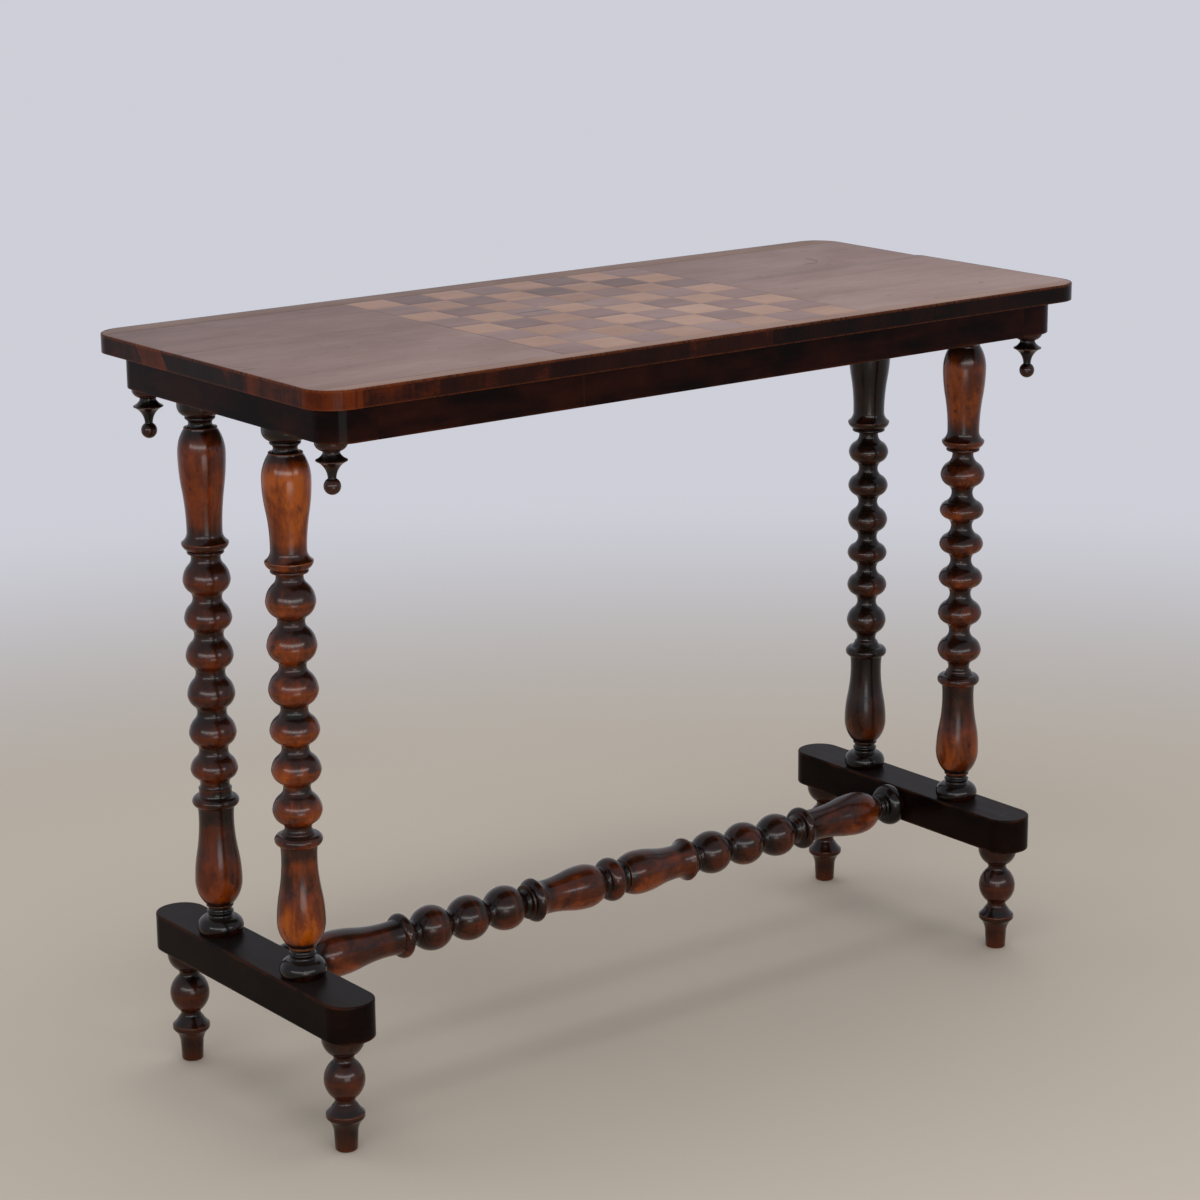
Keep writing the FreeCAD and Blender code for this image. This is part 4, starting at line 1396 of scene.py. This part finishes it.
@dataclass
class Apron:
    """The bearers and rails below the slab, with their glue blocks and screws."""

    half_length: float = 441.0
    half_depth: float = 184.0
    low: float = 672.0
    high: float = 706.0
    corner: float = 27.0
    bearer: float = 50.0
    rail: float = 18.0
    ease: float = 0.9
    bore_x: float = 417.0
    bore_rows: Triple = (-115.65, 0.0, 115.65)
    bore_radius: float = 6.0
    bore_depth: float = 12.0
    dark: Colour = (14, 6, 5)
    rubbed: Colour = (72, 34, 16)

    def bearers(self) -> None:
        """Cut the two cross bearers, round at their outer corners."""
        for side in Side:
            way = side.value
            inner = way * (self.half_length - self.bearer)
            around = [spot for spot in round_corners((self.half_length, self.half_depth), self.corner)
                      if spot[0] * way > 0]
            outline = [(inner, -way * self.half_depth), *around, (inner, way * self.half_depth)]
            bores = [(way * self.bore_x, row, self.bore_radius, self.bore_depth) for row in self.bore_rows]
            finish = DarkPolish(self.dark, (42, 17, 10), self.rubbed, 4.0 + way, (60, 6, 90))
            block = Block(outline, self.low, self.high, self.ease, bores)
            block.piece(named("bearer", side), "apron", finish)

    def rails(self) -> None:
        """Cut the two long rails."""
        inner = self.half_length - self.bearer
        seam = DarkStroke((-167, -190), (-167, -170), 0.5, 0.6)
        for reach in Reach:
            outer = reach.value * self.half_depth
            low, high = sorted((outer, outer - reach.value * self.rail))
            outline = [(-inner, low), (inner, low), (inner, high), (-inner, high)]
            finish = DarkPolish(self.dark, (46, 18, 10), self.rubbed, 7.0 + reach.value, (6, 60, 110),
                                marks=(seam,) if reach is Reach.FRONT else ())
            Block(outline, self.low, self.high, self.ease).piece(named("apron_rail", reach), "apron", finish)

    def build(self) -> None:
        """Build the apron."""
        self.bearers()
        self.rails()
        for reach in Reach:
            finish = BareWood((112, 74, 46), (64, 38, 23), (20, 90, 90), 5.0 + reach.value)
            dress(named("glue_blocks", reach), finish)
        dress("top_screws", OldSteel())


@dataclass
class Ends:
    """The base, vase and collar that a leg's foot and the stretcher's ends share."""

    base_height: float = 16.5
    base_foot: float = 20.0
    base_top: float = 15.0
    base_bulge: float = 4.5
    neck: float = 12.0
    neck_low: float = 3.8
    neck_high: float = 4.3
    neck_depth: float = 0.9
    neck_ring: float = 2.6
    ring_bulge: float = 1.0
    fillet: float = 1.8
    fillet_step: float = 1.1
    vase_foot: float = 12.4
    vase_foot_length: float = 24.5
    vase: float = 22.8
    vase_taper: float = 62.5
    taper_turn: float = 0.44
    waist: float = 16.8
    flare_length: float = 11.5
    flare: float = 17.6
    collar: float = 22.4
    under_height: float = 5.0
    under_bulge: float = 1.2
    edge_height: float = 1.4
    shoulder: float = 17.4
    shoulder_height: float = 4.4
    shoulder_bulge: float = 1.1
    hollow_depth: float = 0.6
    base_tint: float = 0.95

    def start(self, vase: Spot, collar: float, hollow: float, neck: float) -> Turning:
        """Turn from the base to the first bead.

        Args:
            vase: The vase's tint at its belly and at its waist.
            collar: The collar's tint.
            hollow: The length from the collar's edge to where the first bead's cove starts.
            neck: The radius of the first bead's neck.

        Returns:
            The outline so far.
        """
        belly, waist = vase
        turning = Turning(self.base_foot, self.base_tint)
        turning.bulge(self.base_top, self.base_height, self.base_bulge).step(self.neck + self.neck_depth)
        turning.bulge(self.neck, self.neck_low, -self.neck_depth)
        turning.bulge(self.neck, self.neck_ring, self.ring_bulge)
        turning.bulge(self.neck, self.neck_high, -self.neck_depth).step(self.neck + self.fillet_step)
        turning.band(self.fillet).step(self.vase_foot).tinted(belly).arrive(self.vase, self.vase_foot_length)
        since = len(turning.rows)
        turning.swell(self.waist, self.vase_taper, self.taper_turn).leave(self.flare, self.flare_length)
        turning.blend(since, belly, waist).tinted(collar)
        turning.bulge(self.collar, self.under_height, self.under_bulge).band(self.edge_height)
        turning.bulge(self.shoulder, self.shoulder_height, self.shoulder_bulge)
        turning.step(self.shoulder - self.neck_depth)
        return turning.bulge(neck + Turning.LEAD_OUT, hollow - self.shoulder_height, -self.hollow_depth)


@dataclass
class Collar:
    """The collar above a row of beads, with a small ring below it."""

    ring: float = 16.9
    ring_height: float = 2.9
    ring_bulge: float = 0.8
    groove: float = 1.0
    radius: float = 22.4
    round_height: float = 6.4
    bulge: float = 1.2
    edge: float = 1.6

    def turn(self, turning: Turning) -> Turning:
        """Turn the ring and the collar.

        Args:
            turning: The outline up to the end of the beads.

        Returns:
            The outline up to the collar's edge.
        """
        turning.step(self.ring).bulge(self.ring, self.ring_height, self.ring_bulge)
        turning.step(self.ring - self.groove)
        return turning.bulge(self.radius, self.round_height, self.bulge).band(self.edge)


@dataclass
class Leg:
    """A bobbin-turned leg with a vase at each end; the turner's eye set each neck's height."""

    side: Side
    reach: Reach
    finish: TurnedPolish
    necks: tuple[float, ...]
    bobbin: float
    neck: float
    coves: Spot
    crest: float
    low: float = 151.8
    high: float = 672.0
    x: float = 417.0
    y: float = 73.3
    ends: Ends = field(default_factory=Ends)
    cup: Collar = field(default_factory=Collar)
    collar_top: float = 285.2
    ridge: float = 0.22
    flare_height: float = 9.8
    waist: float = 16.8
    vase: float = 22.6
    vase_turn: float = 0.56
    shoulder_height: float = 23.0
    shoulder: float = 15.8
    fillet: float = 1.6
    capital_neck: float = 7.2
    capital_neck_radius: float = 13.4
    capital_neck_depth: float = 2.2
    capital_ring: float = 3.2
    capital_ring_bulge: float = 1.0
    capital_foot: float = 13.2
    cup_height: float = 9.6
    capital: float = 21.3
    capital_band: float = 4.8
    segments: int = 64
    # Tints: of the vases at their waists and bellies, and of the pieces between them
    lower_tints: Spot = (0.2, 0.6)
    collar_tint: float = 0.55
    bead_tint: float = 0.42
    cup_tint: float = 0.5
    flare_tint: float = 0.4
    upper_tints: Spot = (0.3, 0.1)
    shoulder_tint: float = 0.62
    neck_tint: float = 0.7
    capital_tint: float = 0.8

    def outline(self) -> Turning:
        """Walk the leg's outline from the bar up to the bearer.

        Returns:
            The outline.
        """
        hollow = self.necks[0] - Turning.LEAD_UP - self.collar_top
        necks = [neck - self.low for neck in self.necks]
        turning = self.ends.start(self.lower_tints, self.collar_tint, hollow, self.neck)
        turning.tinted(self.bead_tint)
        turning.beads(necks, self.bobbin, self.neck, self.coves, self.crest, self.ridge)
        self.cup.turn(turning.tinted(self.cup_tint)).tinted(self.flare_tint)
        turning.arrive(self.waist, self.flare_height)
        upper = self.fillet + self.capital_neck + self.capital_ring + self.cup_height + self.capital_band
        vase = self.high - self.low - upper - self.shoulder_height - turning.end.height
        waist, belly = self.upper_tints
        since = len(turning.rows)
        turning.swell(self.vase, vase, self.vase_turn).blend(since, waist, belly)
        since = len(turning.rows)
        turning.leave(self.shoulder, self.shoulder_height).blend(since, belly, self.shoulder_tint)
        turning.tinted(self.neck_tint).band(self.fillet).step(self.capital_neck_radius)
        turning.bulge(self.capital_neck_radius, self.capital_neck, -self.capital_neck_depth)
        turning.bulge(self.capital_neck_radius, self.capital_ring, self.capital_ring_bulge)
        turning.step(self.capital_foot).tinted(self.capital_tint).arrive(self.capital, self.cup_height)
        return turning.band(self.capital_band)

    def build(self) -> None:
        """Turn the leg and stand it on its bar."""
        turned = Turned(self.outline(), self.high - self.low, self.segments, int(self.finish.seed * 10))
        turned.piece(named("leg", self.reach, self.side), "leg", self.finish,
                     (self.side.value * self.x, self.reach.value * self.y, self.low))


@dataclass
class Foot:
    """A turned foot below a bar's end."""

    height: float = 114.8
    x: float = 417.0
    y: float = 138.3
    peg_end: float = 9.4
    peg_round: float = 1.2
    peg: float = 11.3
    peg_length: float = 16.5
    flare_height: float = 14.5
    flare: float = 16.6
    bevel_height: float = 2.2
    bevel_bulge: float = 0.35
    disc: float = 18.5
    disc_edge: float = 3.6
    slope_depth: float = 0.5
    necks: Spot = (49.0, 90.7)
    neck: float = 9.8
    ball: float = 19.3
    cove: float = 4.5
    cup_height: float = 16.1
    cup: float = 20.5
    segments: int = 56
    # Tints: of the left and the right pegs, of the disc and the cup, and of the ball
    peg_tints: Spot = (0.5, 0.3)
    dark_tint: float = 0.7
    ball_tint: float = 0.42

    def outline(self, side: Side) -> Turning:
        """Walk the foot's outline from the floor up to the bar.

        Args:
            side: Which end of the table.

        Returns:
            The outline.
        """
        turning = Turning(self.peg_end, self.peg_tints[side is Side.RIGHT])
        turning.taper(self.peg_end + self.peg_round, self.peg_round)
        turning.taper(self.peg, self.peg_length - self.peg_round).leave(self.flare, self.flare_height)
        turning.tinted(self.dark_tint).bulge(self.disc, self.bevel_height, self.bevel_bulge)
        turning.band(self.disc_edge)
        slope = self.necks[0] - Turning.LEAD_UP - turning.end.height
        turning.bulge(self.neck + Turning.LEAD_OUT, slope, -self.slope_depth).tinted(self.ball_tint)
        turning.beads(self.necks, self.ball, self.neck, (self.cove, self.cove)).tinted(self.dark_tint)
        turning.arrive(self.cup, self.cup_height)
        return turning.band(self.height - turning.end.height)

    def build(self, side: Side, reach: Reach, finish: TurnedPolish) -> None:
        """Turn one foot and set it below its bar.

        Args:
            side: Which end of the table.
            reach: Front or rear.
            finish: Its polish.
        """
        turned = Turned(self.outline(side), self.height, self.segments, int(finish.seed * 10))
        turned.piece(named("foot", reach, side), "foot", finish,
                     (side.value * self.x, reach.value * self.y, 0.0))


@dataclass
class Bar:
    """The bar with round ends that two legs stand on."""

    x: float = 417.0
    width: float = 50.0
    length: float = 345.0
    low: float = 114.8
    high: float = 151.8
    ease: float = 1.6
    flat: float = 0.4
    steps: int = 20
    # dust: how much grey lies on the bar's top, partly dust, partly a painted sheen
    dust: float = 0.3

    def build(self, side: Side) -> None:
        """Cut one bar.

        Args:
            side: Which end of the table.
        """
        half = (self.width / 2, self.length / 2)
        outline = round_corners(half, self.width / 2 - self.flat, (side.value * self.x, 0.0), self.steps)
        scuffs = (DarkStroke((404, -151), (424, -146), 2.2, 0.5), DarkStroke((431, -133), (438, -118), 1.8, 0.4))
        finish = DarkPolish((12, 6, 5), (28, 14, 10), (70, 38, 22), 9.0 + side.value, (60, 7, 60), self.dust,
                            marks=scuffs)
        Block(outline, self.low, self.high, self.ease).piece(named("foot_bar", side), "foot_bar", finish)


@dataclass
class Stretcher:
    """The turned rail between the two bars."""

    half: float = 392.0
    height: float = 131.0
    ends: Ends = field(default_factory=Ends)
    cup: Collar = field(default_factory=Collar)
    hollow: float = 8.6
    balls: int = 3
    run: float = 141.0
    ball: float = 22.6
    neck: float = 11.0
    cove: float = 4.6
    flare_length: float = 12.5
    waist: float = 17.3
    baluster: float = 22.7
    taper_length: float = 49.5
    taper_turn: float = 0.56
    foot: float = 17.0
    foot_length: float = 18.5
    ring_foot: float = 16.0
    ring_neck: float = 7.0
    ring_neck_depth: float = 2.4
    ring: float = 22.6
    ring_half: float = 9.0
    segments: int = 64
    seed: int = 77
    # Tints, from the ends inwards
    vase_tints: Spot = (0.25, 0.45)
    collar_tint: float = 0.62
    ball_tint: float = 0.48
    cup_tint: float = 0.6
    flare_tint: float = 0.35
    baluster_tint: float = 0.25
    ring_tint: float = 0.5

    def outline(self) -> Turning:
        """Walk the outline from one bar to the other.

        Returns:
            The outline.
        """
        turning = self.ends.start(self.vase_tints, self.collar_tint, self.hollow, self.neck)
        first = turning.end.height + Turning.LEAD_UP
        pitch = (self.run - 2 * Turning.LEAD_UP) / self.balls
        necks = [first + pitch * place for place in range(self.balls + 1)]
        turning.tinted(self.ball_tint).beads(necks, self.ball, self.neck, (self.cove, self.cove))
        self.cup.turn(turning.tinted(self.cup_tint)).tinted(self.flare_tint)
        turning.arrive(self.waist, self.flare_length)
        turning.tinted(self.baluster_tint).swell(self.baluster, self.taper_length, self.taper_turn)
        turning.leave(self.foot, self.foot_length).tinted(self.cup_tint)
        turning.bulge(self.ring_foot, self.ring_neck, -self.ring_neck_depth).tinted(self.ring_tint)
        return turning.arrive(self.ring, self.ring_half).mirrored()

    def build(self, finish: TurnedPolish) -> None:
        """Turn the stretcher and lay it between the bars.

        Args:
            finish: Its polish.
        """
        turned = Turned(self.outline(), 2 * self.half, self.segments, self.seed)
        made = turned.piece("stretcher", "stretcher", finish, (-self.half, 0.0, self.height))
        made.rotation_euler = (0.0, math.pi / 2, 0.0)


@dataclass
class Finial:
    """A turned drop below a corner of the apron."""

    x: float = 423.0
    y: float = 158.0
    high: float = 672.0
    tip: float = 0.05
    ball: float = 7.8
    ball_neck: float = 6.7
    stem: float = 3.9
    stem_length: float = 16.0
    disc: float = 14.4
    disc_edge: float = 0.8
    slope_height: float = 5.6
    slope_depth: float = 0.7
    neck: float = 7.9
    neck_length: float = 2.4
    collar: float = 15.0
    collar_height: float = 6.0
    collar_bulge: float = 1.3
    band: float = 3.2
    segments: int = 48
    ball_tint: float = 0.55
    tint: float = 0.75

    def outline(self) -> Turning:
        """Walk the drop's outline from its ball up to the apron.

        Returns:
            The outline.
        """
        turning = Turning(self.tip, self.ball_tint)
        turning.arrive(self.ball, self.ball).leave(self.stem, self.ball_neck).tinted(self.tint)
        turning.leave(self.disc, self.stem_length).band(self.disc_edge)
        turning.bulge(self.neck, self.slope_height, -self.slope_depth).band(self.neck_length)
        return turning.bulge(self.collar, self.collar_height, self.collar_bulge).band(self.band)

    def build(self, side: Side, reach: Reach, finish: TurnedPolish) -> None:
        """Turn one drop and hang it below its corner.

        Args:
            side: Which end of the table.
            reach: Front or rear.
            finish: Its polish.
        """
        outline = self.outline()
        length = outline.end.height
        turned = Turned(outline, length, self.segments, int(finish.seed * 10) + 5)
        turned.piece(named("drop_finial", reach, side), "finial", finish,
                     (side.value * self.x, reach.value * self.y, self.high - length))


@dataclass
class Trestles:
    """Both ends of the table: legs, bars, feet and drops, each with its own polish, and the stretcher."""

    foot: Foot = field(default_factory=Foot)
    bar: Bar = field(default_factory=Bar)
    finial: Finial = field(default_factory=Finial)
    stretcher: Stretcher = field(default_factory=Stretcher)
    deep: Colour = (46, 18, 7)
    black: Colour = (12, 6, 4)

    def legs(self) -> tuple[Leg, ...]:
        """Give the four legs: golden in front on the left, almost black at the rear right.

        Returns:
            The legs.
        """
        golden = TurnedPolish((150, 72, 9), (104, 43, 7), self.deep, self.black, 1.1)
        red = TurnedPolish((120, 50, 9), (84, 32, 7), self.deep, self.black, 2.3, darker=0.05)
        brown = TurnedPolish((128, 58, 11), (78, 31, 8), (36, 14, 6), self.black, 3.7, darker=-0.02)
        dark = TurnedPolish((98, 44, 14), (52, 22, 9), (22, 10, 6), self.black, 4.9, darker=0.06)
        return (Leg(Side.LEFT, Reach.FRONT, golden, (296, 334.5, 372.5, 409.5, 450, 491.5, 533),
                    23.0, 12.7, (6, 9), 0.45),
                Leg(Side.LEFT, Reach.REAR, red, (301.5, 335.5, 373, 411.5, 448.5, 484.5, 523),
                    22.5, 14.0, (8, 10), 0.45),
                Leg(Side.RIGHT, Reach.FRONT, brown, (298.5, 339.5, 379.5, 416.5, 453.5, 489.5, 530.5),
                    23.1, 11.2, (9, 11.5), 0.47),
                Leg(Side.RIGHT, Reach.REAR, dark, (300, 342, 379.5, 414.5, 454, 491, 528.5),
                    21.4, 10.4, (9, 10), 0.49, upper_tints=(0.6, 0.6)))

    def build(self) -> None:
        """Build both ends and the stretcher between them."""
        for side in Side:
            self.bar.build(side)
        for leg in self.legs():
            leg.build()
            for piece, worn, warm, on, darker in ((self.foot, (104, 46, 14), (64, 26, 10), 0.45, 0.06),
                                                  (self.finial, (76, 34, 14), (48, 20, 10), 0.75, 0.12)):
                finish = TurnedPolish(worn, warm, self.deep, self.black, leg.finish.seed + on, darker)
                piece.build(leg.side, leg.reach, finish)
        tawny = TurnedPolish((126, 56, 13), (80, 32, 10), (39, 16, 7), self.black, 6.2, darker=0.03)
        self.stretcher.build(tawny)


@dataclass
class Studio:
    """A plain pale floor, soft light and the camera; lengths here are metres."""

    place: Triple = (-1.8952, -2.4530, 1.2374)
    yaw: float = 37.5495
    pitch: float = 14.658
    roll: float = 0.5318
    lens: float = 96.098
    sensor: float = 36.0
    sight: float = 200.0
    floor_size: float = 40.0
    floor_middle: Spot = (-0.5, -0.75)
    floor_fade: Spot = (1.6, 3.3)
    near_floor: Colour = (206, 196, 182)
    backdrop: Colour = (206, 207, 216)
    room: Colour = (248, 248, 255)
    room_dim: float = 0.1
    room_bright: float = 0.6
    wall_way: Triple = (0.55, 0.83, 0.0)
    wall_fade: Spot = (-0.35, 0.5)
    aim: Triple = (-0.2, 0.0, 0.45)
    window_distance: float = 4.5
    window_lift: float = 1.2
    window_size: Spot = (1.82, 0.55)
    windows: tuple[Spot, ...] = ((191, 22.0), (214, 26.0), (237, 28.0), (260, 28.0), (283, 24.0))
    door_turn: float = 247.0
    door_distance: float = 1.75
    door_height: float = 0.25
    door_size: Spot = (0.8, 0.32)
    door_watts: float = 3.4
    ceiling: Triple = (0.0, 0.0, 3.0)
    ceiling_aim: Triple = (0.0, 0.01, 0.0)
    ceiling_size: Spot = (3.2, 3.2)
    ceiling_watts: float = 42.0

    def camera(self) -> None:
        """Stand the camera where the photograph was taken."""
        yaw, pitch, roll = (math.radians(angle) for angle in (self.yaw, self.pitch, self.roll))
        ahead = Vector((math.sin(yaw) * math.cos(pitch), math.cos(yaw) * math.cos(pitch), -math.sin(pitch)))
        level = Vector((math.cos(yaw), -math.sin(yaw), 0.0))
        down = ahead.cross(level)
        right = level * math.cos(roll) + down * math.sin(roll)
        lower = down * math.cos(roll) - level * math.sin(roll)
        lens = bpy.data.cameras.new("camera")
        lens.lens = self.lens
        lens.sensor_width = self.sensor
        lens.clip_end = self.sight
        camera = bpy.data.objects.new("camera", lens)
        turn = Matrix((right, -lower, -ahead)).transposed().to_4x4()
        camera.matrix_world = Matrix.Translation(self.place) @ turn
        bpy.context.scene.collection.objects.link(camera)
        bpy.context.scene.camera = camera

    @staticmethod
    def shown(paint: Paint) -> Value:
        """Tell the rays that show the backdrop: the camera's own and those that polish or glass sends on.

        Args:
            paint: The tree to build in.

        Returns:
            1 for such a ray and 0 for light that only falls on a surface.
        """
        camera, glossy, through = (paint.node("ShaderNodeLightPath", output=f"Is {kind} Ray")
                                   for kind in ("Camera", "Glossy", "Transmission"))
        return (camera + glossy + through).within(0.0, 1.0)

    def floor(self) -> None:
        """Lay the floor, which fades into the plain backdrop farther off."""
        paint = Paint("floor")
        place = paint.place()
        x, y = (paint.part(place, axis) - middle for axis, middle in zip("XY", self.floor_middle))
        far = ((x * x + y * y) ** 0.5).within(*self.floor_fade) * self.shown(paint)
        speck = paint.noise(place, (60, 60, 60), 3, 0.5)
        paint.surface(Base_Color=paint.mix(far, self.near_floor, BLACK), Specular_IOR_Level=0.0,
                      Roughness=0.62 + (speck - 0.5) * 0.1, Emission_Strength=1.0,
                      Emission_Color=paint.mix(far, BLACK, self.backdrop))
        half = self.floor_size / 2
        mesh = bpy.data.meshes.new("floor")
        mesh.from_pydata([(-half, -half, 0), (half, -half, 0), (half, half, 0), (-half, half, 0)], [],
                         [(0, 1, 2, 3)])
        mesh.materials.append(paint.material)
        made = bpy.data.objects.new("floor", mesh)
        bpy.context.scene.collection.objects.link(made)

    @staticmethod
    def lamp(name: str, place: Vector, aim: Vector, size: Spot, watts: float, mirrored: bool = True) -> None:
        """Hang one window-like lamp.

        Args:
            name: Its name.
            place: Where it is.
            aim: What it looks at.
            size: Its width and height.
            watts: Its power.
            mirrored: Whether polish shows it.
        """
        light = bpy.data.lights.new(name, "AREA")
        light.shape = "RECTANGLE"
        light.size, light.size_y = size
        light.energy = watts
        lamp = bpy.data.objects.new(name, light)
        lamp.location = place
        lamp.rotation_euler = (aim - place).to_track_quat("-Z", "Y").to_euler()
        lamp.visible_camera = False
        lamp.visible_glossy = mirrored
        bpy.context.scene.collection.objects.link(lamp)

    def world(self) -> None:
        """Light the room: brighter on one side, and plain backdrop where it is seen."""
        paint = Paint("room", "worlds")
        way = paint.node("ShaderNodeTexCoord", output="Generated")
        facing = paint.vector("DOT_PRODUCT", way, self.wall_way, "Value")
        glow = self.room_dim + facing.within(*self.wall_fade) * (self.room_bright - self.room_dim)
        seen = self.shown(paint)
        paint.close("ShaderNodeOutputWorld", paint.node("ShaderNodeBackground", None, {
            "Color": paint.mix(seen, self.room, self.backdrop), "Strength": seen + glow * (1 - seen)}))
        bpy.context.scene.world = paint.material

    def lamps(self) -> None:
        """Hang the window lamps, the low lamp at the door and the ceiling's lamp."""
        aim = Vector(self.aim)
        for number, (turn, watts) in enumerate(self.windows):
            way = Vector((math.cos(math.radians(turn)), math.sin(math.radians(turn)), 0.0))
            place = aim + way * self.window_distance + Vector((0.0, 0.0, self.window_lift))
            self.lamp(f"window_{number + 1}", place, aim, self.window_size, watts)
        turn = math.radians(self.door_turn)
        place = Vector((aim.x + self.door_distance * math.cos(turn), self.door_distance * math.sin(turn),
                        self.door_height))
        self.lamp("door", place, aim, self.door_size, self.door_watts)
        self.lamp("ceiling", Vector(self.ceiling), Vector(self.ceiling_aim), self.ceiling_size,
                  self.ceiling_watts, mirrored=False)

    def build(self) -> None:
        """Build the studio."""
        for step in (self.floor, self.world, self.lamps, self.camera):
            step()
        bpy.context.scene.view_settings.view_transform = "Standard"


def clear_start() -> None:
    """Take away the camera and the lamps that a new file starts with."""
    own = set(frame["nodes"].values()) | set(frame["bodies"].values())
    for thing in list(bpy.data.objects):
        if thing not in own and thing.type in {"CAMERA", "LIGHT"}:
            bpy.data.objects.remove(thing)


def main() -> None:
    """Build the table in order."""
    logging.basicConfig(level=logging.INFO, format="%(message)s")
    clear_start()
    for group in (Top(), Apron(), Trestles(), Studio()):
        group.build()
    bpy.context.view_layer.update()


if __name__ == "__main__":
    main()
